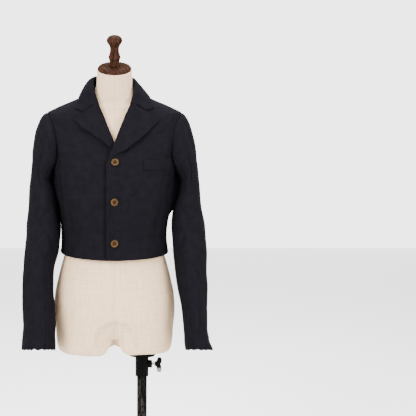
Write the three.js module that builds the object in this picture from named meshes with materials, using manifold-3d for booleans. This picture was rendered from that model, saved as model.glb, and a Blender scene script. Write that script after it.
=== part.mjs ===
// A cropped tailored jacket with notched lapels, worn by a limbless dress form on a round-based stand.
// Units are millimetres. +Z is up, the jacket faces -Y and the wearer's left is +X.
// The origin is the middle of the base plate's underside.
import * as THREE from "three";
import Module from "manifold-3d";
import { mergeVertices } from "three/addons/utils/BufferGeometryUtils.js";

const wasm = await Module();
wasm.setup();

// Driving dimensions
const cloth = 2.0; // wall of every cloth panel
const seamGap = 0.3; // between two sewn pieces
const hemHeight = 783; // at the side seams
const underarmHeight = 1012;
const shoulderHeight = 1172; // the outer end of the shoulder seam
const necklineHeight = 1230; // where the shoulder seam meets the collar
const wrapWidth = 21; // each front edge passes the centre line by this much
const breakHeight = 1046; // where the lapel starts to turn back
const gorgeHeight = 1197; // where the collar meets the lapel on the roll line

const baseRadius = 170;
const baseThickness = 10;
const poleRadius = 14;
const poleX = 78; // the pole stands under the wearer's left thigh
const poleY = -38;
const poleTop = 620;
const socketBottom = 430;
const formBottom = 499;

// Table helpers
// Rows of numbers become rows with named columns.
function table(columns, rows) {
  return rows.map((row) => Object.fromEntries(columns.map((name, i) => [name, row[i]])));
}

// The value of a column where the key column has a given value, on a smooth curve without overshoot.
function lookUp(rows, key, column, at) {
  const last = rows.length - 1;
  if (at <= rows[0][key]) return rows[0][column];
  if (at >= rows[last][key]) return rows[last][column];
  let i = 0;
  while (rows[i + 1][key] < at) i++;
  const slope = (j) => (rows[j + 1][column] - rows[j][column]) / (rows[j + 1][key] - rows[j][key]);
  const tangent = (j) => {
    if (j === 0) return slope(0);
    if (j === last) return slope(last - 1);
    const before = slope(j - 1);
    const after = slope(j);
    return before * after <= 0 ? 0 : (2 * before * after) / (before + after);
  };
  const span = rows[i + 1][key] - rows[i][key];
  const t = (at - rows[i][key]) / span;
  const rise = t * t * (3 - 2 * t);
  return (
    rows[i][column] * (1 - rise) +
    rows[i + 1][column] * rise +
    span * (tangent(i) * t * (1 - t) * (1 - t) - tangent(i + 1) * t * t * (1 - t))
  );
}

const mix = (a, b, t) => a + (b - a) * t;
const clamp = (v, low, high) => Math.min(high, Math.max(low, v));
const ease = (low, high, v) => {
  const t = clamp((v - low) / (high - low), 0, 1);
  return t * t * (3 - 2 * t);
};
const degrees = (d) => (d * Math.PI) / 180;
const steps = (count) => Array.from({ length: count + 1 }, (_, i) => i / count);

// Body sections: a front and a back half of a superellipse at each height.
const sectionColumns = [
  "height", "halfWidth", "sideY", "front", "back", "power", "frontRise", "backRise",
];

// The outside of the jacket's body, from hem to neckline.
const jacketSections = table(sectionColumns, [
  [783, 152, -15, 124, 114, 2.05, -9, 5],
  [804, 149, -14, 119, 109, 2.1, -6, 3],
  [831, 147, -12, 115, 105, 2.15, 0, 0],
  [887, 153, -8, 122, 108, 2.25, 0, 0],
  [954, 163, 0, 131, 109, 2.35, 0, 0],
  [1012, 172, 8, 129, 107, 2.4, 0, 0],
  [1050, 177, 12, 119, 104, 2.45, 0, 0],
  [1090, 184, 16, 106, 101, 2.45, 0, 0],
  [1130, 190, 19, 92, 94, 2.4, -1, 2],
  [1160, 192, 21, 81, 85, 2.35, -3, 6],
  [1172, 190, 22, 77, 81, 2.3, -5, 9],
  [1182, 172, 21, 73, 77, 2.3, -8, 11],
  [1192, 150, 20, 70, 73, 2.3, -10, 12],
  [1202, 125, 18, 67, 69, 2.25, -12, 12],
  [1212, 102, 16, 64, 64, 2.2, -14, 12],
  [1222, 83, 14, 61, 58, 2.1, -16, 12],
  [1230, 70, 12, 58, 53, 2.0, -18, 12],
]);

// The linen-covered form, from the thighs' cut to the slanted top of the neck.
const formSections = table(sectionColumns, [
  [499, 132, -36, 62, 66, 2.6, 0, 0],
  [502, 147, -36, 76, 79, 2.6, 0, 0],
  [510, 157, -36, 84, 87, 2.5, 0, 0],
  [534, 163, -35, 92, 95, 2.4, 0, 0],
  [574, 166, -32, 100, 106, 2.3, 0, 0],
  [620, 170, -30, 108, 114, 2.2, 0, 0],
  [660, 168, -28, 110, 112, 2.15, 0, 0],
  [706, 159, -25, 106, 103, 2.1, 0, 0],
  [777, 140, -20, 96, 86, 2.1, 0, 0],
  [820, 126, -14, 88, 78, 2.1, 0, 0],
  [887, 132, -8, 98, 84, 2.15, 0, 0],
  [954, 144, -2, 120, 92, 2.25, 0, 0],
  [1012, 152, 6, 117, 92, 2.3, 0, 0],
  [1050, 158, 11, 106, 90, 2.3, 0, 0],
  [1090, 166, 15, 92, 87, 2.3, 0, 0],
  [1130, 174, 18, 79, 81, 2.3, -1, 2],
  [1152, 178, 20, 71, 73, 2.25, -3, 5],
  [1170, 178, 21, 66, 69, 2.2, -5, 8],
  [1179.3, 172, 20, 62, 65, 2.1, -8, 10],
  [1189.2, 150, 19, 58, 61, 2.1, -10, 11],
  [1199.1, 125, 17, 56, 57, 2.05, -12, 11],
  [1209, 102, 15, 50, 52, 2.0, -12, 11],
  [1218, 80, 12, 48, 47, 2.0, -12, 12],
  [1232, 60, 7, 49, 47, 2.0, -13, 13],
  [1250, 51, 2, 50, 47, 2.0, -15, 14],
  [1272, 49, -7, 49, 48, 2.0, -17, 17],
  [1292, 48, -15, 48, 47, 2.0, -19, 19],
]);

// A point on a section. The angle is 0 at the centre front, 90 degrees at the left side, 180 at the back.
function sectionPoint(sections, angle, height) {
  const of = (column) => lookUp(sections, "height", column, height);
  const across = Math.sin(angle);
  const along = Math.cos(angle);
  const curve = 2 / of("power");
  const depth = along > 0 ? of("front") : of("back");
  const rise = along > 0 ? of("frontRise") : of("backRise");
  return new THREE.Vector3(
    of("halfWidth") * Math.sign(across) * Math.abs(across) ** curve,
    of("sideY") - depth * Math.sign(along) * Math.abs(along) ** curve,
    height + rise * Math.abs(along) ** curve,
  );
}

// The angle at which a section is a given distance from the centre plane, on its front half.
function angleAt(sections, x, height) {
  const halfWidth = lookUp(sections, "height", "halfWidth", height);
  const power = lookUp(sections, "height", "power", height);
  return Math.sign(x) * Math.asin(Math.min(1, Math.abs(x) / halfWidth) ** (power / 2));
}

// Soft folds in the jacket's body: a line from its top to its foot, its half width and its depth.
// Angles are in degrees, on the left side when positive; a positive depth stands out.
const bodyFolds = table(
  ["topAngle", "topHeight", "footAngle", "footHeight", "halfWidth", "depth"],
  [
    [139, 1165, 120, 890, 13, -6],
    [122, 1120, 104, 930, 11, -5],
    [156, 1150, 150, 840, 14, 4],
    [-142, 1160, -124, 905, 13, -5],
    [-124, 1110, -106, 940, 11, -4],
    [-160, 1140, -154, 830, 14, 4],
    [62, 1105, 70, 900, 12, -5],
    [-60, 1110, -72, 880, 12, -6],
    [44, 1010, 36, 820, 16, 3],
    [-42, 1020, -34, 810, 16, 3],
    [30, 1080, 64, 1000, 12, 3],
    [90, 1030, 90, 892, 16, 11.5],
    [-104, 970, -103, 790, 13, 8],
  ],
);
const bodyRadius = 130; // turns an angle between folds into a distance

function foldDepth(folds, radius, angle, height) {
  let depth = 0;
  for (const fold of folds) {
    const t = (height - fold.footHeight) / (fold.topHeight - fold.footHeight);
    const middle = degrees(mix(fold.footAngle, fold.topAngle, clamp(t, -0.2, 1.2)));
    const turn = Math.atan2(Math.sin(angle - middle), Math.cos(angle - middle));
    const across = (turn * radius) / fold.halfWidth;
    const along = ease(-0.15, 0.25, t) * (1 - ease(0.7, 1.1, t));
    depth += fold.depth * along * Math.exp(-across * across);
  }
  return depth;
}

const probe = 1e-3; // step for numeric slopes
function surfaceNormal(pointAt, u, v, stepU, stepV) {
  const alongU = pointAt(u + stepU, v).sub(pointAt(u - stepU, v));
  const alongV = pointAt(u, v + stepV).sub(pointAt(u, v - stepV));
  return alongU.cross(alongV).normalize();
}

// The jacket's body surface with its folds, moved out by a distance.
function jacketNormal(angle, height) {
  const inside = clamp(height, hemHeight + 1, necklineHeight - 1);
  const smooth = (a, h) => sectionPoint(jacketSections, a, h);
  return surfaceNormal(smooth, angle, inside, probe * 5, 1);
}
function jacketPoint(angle, height, out = 0) {
  const normal = jacketNormal(angle, height);
  const depth = foldDepth(bodyFolds, bodyRadius, angle, height);
  return sectionPoint(jacketSections, angle, height).addScaledVector(normal, depth + out);
}

// Closed solids from grids of points
// A sheet: outer[i][j] and inner[i][j] are the two faces of a wall, and the rims close it.
function sheetGeometry(outer, inner) {
  const rows = outer.length;
  const columns = outer[0].length;
  const positions = [...outer.flat(), ...inner.flat()].flatMap((p) => [p.x, p.y, p.z]);
  const front = (i, j) => i * columns + j;
  const back = (i, j) => rows * columns + front(i, j);
  const faces = [];
  const quad = (a, b, c, d) => faces.push(a, b, c, a, c, d);
  for (let i = 0; i + 1 < rows; i++) {
    for (let j = 0; j + 1 < columns; j++) {
      quad(front(i, j), front(i, j + 1), front(i + 1, j + 1), front(i + 1, j));
      quad(back(i, j), back(i + 1, j), back(i + 1, j + 1), back(i, j + 1));
    }
    quad(front(i, 0), front(i + 1, 0), back(i + 1, 0), back(i, 0));
    const end = columns - 1;
    quad(front(i + 1, end), front(i, end), back(i, end), back(i + 1, end));
  }
  for (let j = 0; j + 1 < columns; j++) {
    quad(front(0, j + 1), front(0, j), back(0, j), back(0, j + 1));
    const end = rows - 1;
    quad(front(end, j), front(end, j + 1), back(end, j + 1), back(end, j));
  }
  return facingOut(positions, faces);
}

// A solid of closed rings, with a fan over each end.
function ringGeometry(rings) {
  const count = rings[0].length;
  const points = rings.flat();
  const faces = [];
  for (let i = 0; i + 1 < rings.length; i++) {
    for (let j = 0; j < count; j++) {
      const next = (j + 1) % count;
      const a = i * count + j;
      const b = i * count + next;
      faces.push(a, b, b + count, a, b + count, a + count);
    }
  }
  const middle = (ring) => ring.reduce((sum, p) => sum.add(p), new THREE.Vector3()).divideScalar(count);
  points.push(middle(rings[0]), middle(rings[rings.length - 1]));
  const last = (rings.length - 1) * count;
  for (let j = 0; j < count; j++) {
    const next = (j + 1) % count;
    faces.push(points.length - 2, next, j);
    faces.push(points.length - 1, last + j, last + next);
  }
  return facingOut(points.flatMap((p) => [p.x, p.y, p.z]), faces);
}

// Turns the faces round if they enclose a negative volume.
function facingOut(positions, faces) {
  const at = (i) => new THREE.Vector3(...positions.slice(i * 3, i * 3 + 3));
  let volume = 0;
  for (let i = 0; i < faces.length; i += 3) {
    volume += at(faces[i]).dot(at(faces[i + 1]).cross(at(faces[i + 2])));
  }
  if (volume < 0) {
    for (let i = 0; i < faces.length; i += 3) [faces[i + 1], faces[i + 2]] = [faces[i + 2], faces[i + 1]];
  }
  const geometry = new THREE.BufferGeometry();
  geometry.setAttribute("position", new THREE.Float32BufferAttribute(positions, 3));
  geometry.setIndex(faces);
  return geometry;
}

// Boolean cuts and joins
function solidOf(geometry) {
  const bare = geometry.clone();
  bare.deleteAttribute("normal");
  bare.deleteAttribute("uv");
  const merged = mergeVertices(bare, 1e-4);
  return new wasm.Manifold(
    new wasm.Mesh({
      numProp: 3,
      vertProperties: new Float32Array(merged.attributes.position.array),
      triVerts: new Uint32Array(merged.index.array),
    }),
  );
}
function geometryOf(solid) {
  const mesh = solid.getMesh();
  const geometry = new THREE.BufferGeometry();
  geometry.setAttribute("position", new THREE.BufferAttribute(new Float32Array(mesh.vertProperties), 3));
  geometry.setIndex(new THREE.BufferAttribute(new Uint32Array(mesh.triVerts), 1));
  return geometry;
}
const cut = (geometry, ...tools) =>
  geometryOf(tools.reduce((solid, tool) => solid.subtract(solidOf(tool)), solidOf(geometry)));
const join = (geometry, ...others) =>
  geometryOf(others.reduce((solid, other) => solid.add(solidOf(other)), solidOf(geometry)));

// Materials
const finish = (color, roughness, metalness = 0) =>
  new THREE.MeshStandardMaterial({ color, roughness, metalness, side: THREE.DoubleSide });
const materials = {
  jacket: finish(0x1c1d25, 0.9),
  linen: finish(0xd8ccbc, 0.85),
  wood: finish(0x4a2415, 0.35),
  horn: finish(0xa06a32, 0.35),
  blackSteel: finish(0x14130f, 0.4, 0.6),
  steel: finish(0xb8b8b4, 0.3, 0.9),
  blackPlastic: finish(0x0d0d0e, 0.35),
};

const part = new THREE.Group();
function place(name, geometry, material) {
  const mesh = new THREE.Mesh(geometry, material);
  mesh.name = name;
  part.add(mesh);
  return mesh;
}

// Armholes: an egg-shaped cut round the side of the body, as turns from the shoulder's end.
const armholeMiddle = (underarmHeight + shoulderHeight) / 2;
const armholeHalfHeight = (shoulderHeight - underarmHeight) / 2;
const armholeFrontReach = degrees(31);
const armholeBackReach = degrees(41);
const armholeSquareness = 0.8; // below 1 fills out the armhole's corners
// turn is 0 at the shoulder, a quarter at the front, a half at the underarm and three quarters at the back.
function armholePlace(turn) {
  const around = turn * 2 * Math.PI;
  const sideways = Math.sign(Math.sin(around)) * Math.abs(Math.sin(around)) ** armholeSquareness;
  const scoop = 1 + 0.15 * Math.cos(around); // wider in its upper half
  const reach = sideways > 0 ? armholeFrontReach : armholeBackReach;
  return {
    angle: Math.PI / 2 - reach * sideways * scoop,
    height: armholeMiddle + armholeHalfHeight * Math.cos(around),
  };
}

// Body panels
const underarmRows = 8; // rows of faces from hem to underarm
const armholeRows = 12;
const shoulderRows = 5;
const bodyHeights = [
  ...steps(underarmRows).map((t) => mix(hemHeight, underarmHeight, t)),
  ...steps(armholeRows).slice(1).map((t) => armholePlace(0.5 * (1 - t)).height),
  ...steps(shoulderRows).slice(1).map((t) => mix(shoulderHeight, necklineHeight, t)),
];

// Where a panel ends at the side: at the side or shoulder seam, or at the armhole.
function outerAngle(height, facing) {
  const level = (height - armholeMiddle) / armholeHalfHeight;
  if (Math.abs(level) >= 1) return Math.PI / 2;
  const turn = Math.acos(level) / (2 * Math.PI);
  return armholePlace(facing === "front" ? turn : 1 - turn).angle;
}

// The front edge up to the break, and then the roll line, as a distance from the centre line.
const rollLine = table(["height", "x"], [
  [hemHeight, -wrapWidth],
  [1030, -wrapWidth],
  [breakHeight, -15],
  [1062, -8.5],
  [1078, -2],
  [1095, 4.5],
  [1112, 11],
  [1137, 21],
  [1164, 32],
  [1180, 39],
  [1200, 47],
  [1218, 54],
  [1230, 57],
]);

// Places spread evenly along a curve between two parameter values.
function evenPlaces(curve, from, to, count) {
  const fine = steps(48).map((t) => mix(from, to, t));
  const lengths = [0];
  for (let i = 1; i < fine.length; i++) {
    lengths.push(lengths[i - 1] + curve(fine[i]).distanceTo(curve(fine[i - 1])));
  }
  const total = lengths[lengths.length - 1];
  return steps(count).map((t) => {
    let i = 1;
    while (i < lengths.length - 1 && lengths[i] < t * total) i++;
    const share = (t * total - lengths[i - 1]) / (lengths[i] - lengths[i - 1]);
    return mix(fine[i - 1], fine[i], share);
  });
}

// How far the two fronts are moved apart where they lie on each other: the left one is on top.
// x is measured from the centre line towards the panel's own side.
function lapOffset(side, x, height) {
  const reach = 1 - ease(34, 75, x);
  const overLapel = ease(1000, 1050, height) * (1 - ease(1120, 1160, height));
  return side > 0 ? reach * (1.3 + 3.2 * overLapel) : -reach * 1.3;
}

const halfGapAngle = (height) => seamGap / 2 / lookUp(jacketSections, "height", "back", height);

function bodyPanel(side, facing, count) {
  const outer = [];
  const inner = [];
  for (const height of bodyHeights) {
    const gap = halfGapAngle(height);
    const end = outerAngle(height, facing);
    const from = facing === "front"
      ? angleAt(jacketSections, lookUp(rollLine, "height", "x", height), height)
      : Math.PI - gap;
    const to = facing === "front" ? end - gap : end + gap;
    const curve = (angle) => sectionPoint(jacketSections, angle, height);
    const places = evenPlaces(curve, from, to, count);
    const walls = places.map((angle) => {
      const x = curve(angle).x;
      const lap = facing === "front" ? lapOffset(side, x, height) : 0;
      return {
        normal: jacketNormal(side * angle, height),
        point: jacketPoint(side * angle, height, lap),
      };
    });
    outer.push(walls.map(({ point }) => point));
    inner.push(walls.map(({ point, normal }) => point.clone().addScaledVector(normal, -cloth)));
  }
  return sheetGeometry(outer, inner);
}

for (const [side, name] of [[1, "left"], [-1, "right"]]) {
  place("front_" + name, bodyPanel(side, "front", 10), materials.jacket);
  place("back_" + name, bodyPanel(side, "back", 10), materials.jacket);
}

// Sleeves
const sleeveTurns = 24; // faces round a sleeve
const frontSeam = 8; // the two sleeve seams, counted in those faces
const backSeam = 19;
const capRows = 5;
const tubeRows = 12;
const sleeveTop = 1003;
const cuffHeight = 524;
const sleeveSquareness = 2.2;

// Rings from cuff to underarm. The lean lifts the outer edge and the tilt lifts the front edge.
const sleeveRings = table(
  ["height", "y", "deep", "tilt", "lean", "leftX", "leftHalf", "rightX", "rightHalf"],
  [
    [524, -120, 66, 13, 0, 234, 37, 210, 45.5],
    [548, -115, 65, 13, 0, 227, 34, 209, 45],
    [590, -105, 65, 14, 0, 223.5, 33, 207.5, 45.5],
    [640, -93, 67, 16, 0, 220.5, 35.5, 209, 44.5],
    [690, -78, 69, 18, 0, 216, 40, 211.5, 42],
    [740, -60, 71, 19, 0, 213, 44.5, 210.5, 42],
    [795, -42, 73, 18, 0, 211, 47.5, 202.5, 48],
    [850, -20, 74, 16, 2, 208, 47.5, 199.5, 47.5],
    [905, -3, 76, 12, 4, 205, 40, 200.5, 43],
    [960, 8, 77, 6, 12, 209.5, 31, 201.5, 38],
    [1003, 10, 74, 0, 25, 209, 25, 204.5, 29.5],
  ],
);

// Soft folds in a sleeve, as turns in degrees from its outer edge towards the front.
const sleeveFolds = table(
  ["topAngle", "topHeight", "footAngle", "footHeight", "halfWidth", "depth"],
  [
    [-92, 1120, -50, 960, 12, -7],
    [-60, 1150, -30, 1010, 9, -3],
    [60, 1150, 84, 930, 11, -6],
    [28, 1160, 40, 1040, 9, -3],
    [-8, 1150, -2, 1020, 8, 2.5],
    [120, 900, 60, 810, 13, -5],
    [70, 880, 140, 780, 12, -4],
    [100, 760, 50, 690, 13, -4],
    [-110, 800, -70, 640, 14, -3.5],
    [10, 720, -20, 590, 14, 3],
  ],
);
const sleeveRadius = 62; // turns an angle between folds into a distance

// The sleeves are worked out on the +X side and mirrored for the right one.
const mirrored = (point, side) => new THREE.Vector3(point.x * side, point.y, point.z);

function sleeveRing(side, turn, height) {
  const of = (column) => lookUp(sleeveRings, "height", column, height);
  const name = side > 0 ? "left" : "right";
  const around = turn * 2 * Math.PI;
  const bend = (v) => Math.sign(v) * Math.abs(v) ** (2 / sleeveSquareness);
  const outward = bend(Math.cos(around));
  const forward = bend(Math.sin(around)) * of("deep");
  const tilt = degrees(of("tilt"));
  return new THREE.Vector3(
    of(name + "X") + of(name + "Half") * outward,
    of("y") - forward * Math.cos(tilt),
    height + forward * Math.sin(tilt) + of("lean") * outward,
  );
}

// The seam's point, the direction in which the sleeve leaves it, and a start just clear of the panel.
const headLift = { left: 60, right: 76 }; // degrees by which a sleeve head rises over the shoulder's line
const underarmTurn = 158; // degrees by which the sleeve folds back at the underarm
function sleeveStart(side, turn) {
  const at = (t) => {
    const { angle, height } = armholePlace(t);
    return mirrored(jacketPoint(side * angle, height), side);
  };
  const { angle, height } = armholePlace(turn);
  const normal = mirrored(jacketNormal(side * angle, height), side);
  const along = at(turn + 0.01).sub(at(turn - 0.01)).normalize();
  const away = normal.clone().cross(along).normalize();
  const lower = (1 - Math.cos(turn * 2 * Math.PI)) / 2;
  const lift = side > 0 ? headLift.left : headLift.right;
  const bend = degrees(mix(lift, underarmTurn, lower ** 1.1));
  const direction = away.clone().multiplyScalar(Math.cos(bend)).addScaledVector(normal, Math.sin(bend));
  const clear = away.add(direction).normalize();
  return { point: at(turn).addScaledVector(clear, seamGap), direction };
}

// reach runs from 0 at the armhole through 1 at the underarm ring to 2 at the cuff.
function smoothSleeve(side, turn, reach) {
  if (reach >= 1) return sleeveRing(side, turn, mix(sleeveTop, cuffHeight, reach - 1));
  const { point, direction } = sleeveStart(side, turn);
  const ring = sleeveRing(side, turn, sleeveTop);
  const down = sleeveRing(side, turn, sleeveTop - 15).sub(ring).normalize();
  const pull = 0.65 * ring.distanceTo(point);
  const t = Math.max(0, reach);
  const rise = t * t * (3 - 2 * t);
  return point
    .multiplyScalar(1 - rise)
    .addScaledVector(ring, rise)
    .addScaledVector(direction, pull * t * (1 - t) * (1 - t))
    .addScaledVector(down, -pull * t * t * (1 - t));
}
function sleeveNormal(side, turn, reach) {
  const inside = clamp(reach, 0.02, 1.99);
  return surfaceNormal((u, v) => smoothSleeve(side, u, v), turn, inside, 0.01, 0.01);
}
function sleeveHeight(reach) {
  return reach < 1 ? mix(shoulderHeight, sleeveTop, reach) : mix(sleeveTop, cuffHeight, reach - 1);
}
function sleevePoint(side, turn, reach, out = 0) {
  const depth = foldDepth(sleeveFolds, sleeveRadius, turn * 2 * Math.PI, sleeveHeight(reach));
  const faded = depth * ease(0, 0.5, reach);
  const normal = sleeveNormal(side, turn, reach);
  return mirrored(smoothSleeve(side, turn, reach).addScaledVector(normal, faded + out), side);
}

const sleeveReaches = [
  ...steps(capRows),
  ...steps(tubeRows).slice(1).map((t) => 1 + t),
];
function sleevePiece(side, first, last) {
  const halfGap = seamGap / 2 / (2 * Math.PI * sleeveRadius);
  const from = first / sleeveTurns + halfGap;
  const to = last / sleeveTurns - halfGap;
  const turns = steps(last - first).map((t) => mix(from, to, t));
  const row = (reach, out) => turns.map((turn) => sleevePoint(side, turn, reach, out));
  const wall = (out) => sleeveReaches.map((reach) => row(reach, out));
  return sheetGeometry(wall(0), wall(-cloth));
}
for (const [side, name] of [[1, "left"], [-1, "right"]]) {
  place("upper_sleeve_" + name, sleevePiece(side, backSeam - sleeveTurns, frontSeam), materials.jacket);
  place("under_sleeve_" + name, sleevePiece(side, frontSeam, backSeam), materials.jacket);
}

// Lapels
// A point in front of a front panel, from its place in a front view and its height over the cloth.
function frontPlace(side, x, z) {
  let height = z;
  for (let i = 0; i < 4; i++) {
    const across = angleAt(jacketSections, x, Math.min(height, necklineHeight));
    height += z - sectionPoint(jacketSections, across, height).z;
  }
  return { angle: side * angleAt(jacketSections, x, height), height };
}
function overFront(side, x, z, out) {
  const { angle, height } = frontPlace(side, x, z);
  return jacketPoint(angle, height, lapOffset(side, x, height) + out);
}

// The rolled edge of a turned-back piece: its distance from the fold and its height over the cloth,
// rolled softly or pressed tight.
const rollProfile = table(["softDistance", "softHeight", "tightDistance", "tightHeight"], [
  [-0.35, -2, -0.9, -2],
  [-1.9, 0.4, -2.5, -1.6],
  [-2.8, 3, -3.4, -0.3],
  [-1.9, 6.2, -3.2, 1.4],
  [1, 8, -1.7, 2.6],
  [5, 7.6, 1.2, 2.6],
]);
const leafColumns = 5;
const edgeClearance = 3.6; // of a turned-back piece's outer face at its edge
const pressedHeight = 2.6;

// The inner faces of a grid of points, a wall's thickness behind them. Its first column is given.
function behindGrid(grid, turn, feet) {
  const rows = grid.length;
  const columns = grid[0].length;
  return grid.map((row, i) =>
    row.map((point, j) => {
      if (j === 0) return feet[i];
      const down = grid[Math.min(i + 1, rows - 1)][j].clone().sub(grid[Math.max(i - 1, 0)][j]);
      const across = row[Math.min(j + 1, columns - 1)].clone().sub(row[j - 1]);
      return point.clone().addScaledVector(down.cross(across).normalize(), turn * cloth);
    }),
  );
}

const lapelEdges = table(
  ["share", "leftX", "leftZ", "rightX", "rightZ"],
  [
    [0, -5, 1052, 1, 1071],
    [0.25, 22, 1069, 20, 1091],
    [0.5, 57, 1095, 50, 1110],
    [0.75, 89, 1122, 82, 1131],
    [1, 123, 1152, 114, 1154],
  ],
);
const lapelStart = { left: 1050, right: 1066 };
const lapelRows = 10;
const gorgeGap = 2.8; // along the roll line, which leaves the seam gap where the rolled edges turn

function lapel(side) {
  const name = side > 0 ? "left" : "right";
  const feet = [];
  const grid = steps(lapelRows).map((share) => {
    const rollZ = mix(lapelStart[name], gorgeHeight - gorgeGap, share);
    const rollX = lookUp(rollLine, "height", "x", rollZ);
    const edgeX = lookUp(lapelEdges, "share", name + "X", share);
    const edgeZ = lookUp(lapelEdges, "share", name + "Z", share);
    const width = Math.hypot(edgeX - rollX, edgeZ - rollZ);
    const put = (distance, out) => {
      const t = distance / width;
      return overFront(side, mix(rollX, edgeX, t), mix(rollZ, edgeZ, t), out);
    };
    const soft = side > 0 ? ease(-0.1, 0.3, share) : ease(0.1, 0.55, share);
    const profile = rollProfile.map((spot) => ({
      distance: mix(spot.tightDistance, spot.softDistance, soft),
      height: mix(spot.tightHeight, spot.softHeight, soft),
    }));
    const rolled = profile.map(({ distance, height }) => put(distance, height));
    const { distance: start, height: top } = profile[profile.length - 1];
    const edgeHeight = mix(pressedHeight, edgeClearance, soft);
    const leaf = steps(leafColumns).slice(1).map((t) => put(mix(start, width, t), mix(top, edgeHeight, t)));
    feet.push(put(profile[0].distance, 0));
    return [...rolled, ...leaf];
  });
  return sheetGeometry(grid, behindGrid(grid, side, feet));
}
place("lapel_left", lapel(1), materials.jacket);
place("lapel_right", lapel(-1), materials.jacket);

// Collar
// Half of the collar from the centre back (0) to the gorge (1): the fold's top, and the edge's place.
const collarRows = table(
  ["along", "foldX", "foldY", "foldZ", "edgeAngle", "edgeHeight", "bulge"],
  [
    [0, 0, 52, 1277, 180, 1215, 3],
    [0.2, 33, 46, 1276, 150, 1214, 4],
    [0.38, 53, 27, 1272, 122, 1211, 7],
    [0.5, 59, 5, 1267, 98, 1211, 11],
    [0.64, 61, -15, 1251, 75, 1207, 10],
    [0.78, 59, -34, 1232, 58, 1201, 5],
    [0.9, 53, -44, 1214, 47, 1196, 2],
    [1, 46, -50, 1199, 39.5, 1190, 0],
  ],
);
const halfCollarRows = 13;
const rimLeaves = 10 / halfCollarRows; // where the collar's foot leaves the neckline for the roll line
const notchShare = 0.6; // where the collar's end meets the lapel, from fold to corner
const notchDrop = { left: 11, right: 13 }; // below a straight line from fold to corner

// The rim that the collar's foot stands on: a point on it, the cloth's normal and the way off the panel.
function collarFoot(side, along) {
  const at = (t) => {
    if (t <= 0.5) return { angle: Math.PI * (1 - t), height: necklineHeight };
    const corner = angleAt(jacketSections, lookUp(rollLine, "height", "x", necklineHeight), necklineHeight);
    if (t <= rimLeaves) {
      return { angle: mix(Math.PI / 2, corner, (t - 0.5) / (rimLeaves - 0.5)), height: necklineHeight };
    }
    const height = mix(necklineHeight, gorgeHeight, (t - rimLeaves) / (1 - rimLeaves));
    return { angle: angleAt(jacketSections, lookUp(rollLine, "height", "x", height), height), height };
  };
  const spot = (t) => {
    const { angle, height } = at(t);
    return jacketPoint(side * angle, height);
  };
  const { angle, height } = at(along);
  const normal = jacketNormal(side * angle, height);
  const tangent = spot(Math.min(1, along + 0.02)).sub(spot(Math.max(0, along - 0.02))).normalize();
  const away = tangent.cross(normal).multiplyScalar(side).normalize();
  return { point: spot(along), normal, away };
}

function collarSection(side, along) {
  const of = (column) => lookUp(collarRows, "along", column, along);
  const name = side > 0 ? "left" : "right";
  const { point, normal, away } = collarFoot(side, along);
  const foot = point.clone().addScaledVector(away, 0.35);
  const inFront = ease(0.5, 0.95, along);
  const rise = new THREE.Vector3(0, 0, 1).lerp(normal, inFront).normalize();
  const fold = new THREE.Vector3(of("foldX") * side, of("foldY"), of("foldZ"));
  const endZ = gorgeHeight;
  const gorge = { x: lookUp(rollLine, "height", "x", endZ), z: endZ };
  fold.lerp(overFront(side, gorge.x + 1, gorge.z, 8), ease(0.8, 1, along));
  const edge = jacketPoint(side * degrees(of("edgeAngle")), of("edgeHeight"), edgeClearance + 1);
  const outward = edge.clone().sub(fold);
  outward.addScaledVector(rise, -outward.dot(rise)).normalize();
  const from = (up, out) => fold.clone().addScaledVector(rise, up).addScaledVector(outward, out);
  const standTop = from(-5, -3.6);
  const inner = foot.clone().addScaledVector(normal, -cloth);
  const leafStart = from(-0.6, 4);
  const control = leafStart.clone().lerp(edge, 0.5).addScaledVector(rise, of("bulge"));
  const leaf = steps(leafColumns).slice(1).map((t) => {
    const free = leafStart.clone().lerp(control, t).lerp(control.clone().lerp(edge, t), t);
    const drop = notchDrop[name] * Math.min(t / notchShare, (1 - t) / (1 - notchShare));
    const x = mix(Math.abs(leafStart.x), Math.abs(edge.x), t);
    const z = mix(leafStart.z, edge.z, t) - drop;
    const lying = overFront(side, x, z, mix(7.4, edgeClearance, t));
    return free.lerp(lying, ease(0.72, 1, along));
  });
  const stand = [inner, inner.clone().lerp(standTop, 0.55), standTop];
  return { foot, row: [...stand, from(-1.4, -2.6), from(0, 0), leafStart, ...leaf] };
}

function collar() {
  const sections = [
    ...steps(halfCollarRows).reverse().slice(0, -1).map((t) => collarSection(-1, t)),
    ...steps(halfCollarRows).map((t) => collarSection(1, t)),
  ];
  const grid = sections.map(({ row }) => row);
  return sheetGeometry(grid, behindGrid(grid, -1, sections.map(({ foot }) => foot)));
}
place("collar", collar(), materials.jacket);

// The welt of the breast pocket, on the left front.
const welt = { fromX: 80, toX: 157, fromZ: 1022, toZ: 1033, height: 27, thickness: 2.2, gap: 1.8 };
function pocketWelt() {
  const wall = (out) =>
    steps(3).map((up) =>
      steps(8).map((t) => {
        const z = mix(welt.fromZ, welt.toZ, t) + welt.height * (up - 0.5);
        return overFront(1, mix(welt.fromX, welt.toX, t), z, out);
      }),
    );
  return sheetGeometry(wall(welt.gap + welt.thickness), wall(welt.gap));
}
place("pocket_welt", pocketWelt(), materials.jacket);

// Buttons: a turned disc with a rim round a sunken middle, its back on the cloth.
// The gap is over the curved cloth, whose faces bend under the button.
const frontButtons = table(["height", "gap"], [
  [1040, 1.0],
  [932, 0.7],
  [818, 1.8],
]);
const frontButtonRadius = 11;
const cuffButtonRadius = 8.2;
const cuffButtonHeights = [608, 587, 566];
const cuffButtonTurn = 0.835; // beside the back seam
const cuffButtonGap = 1.0;

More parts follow.
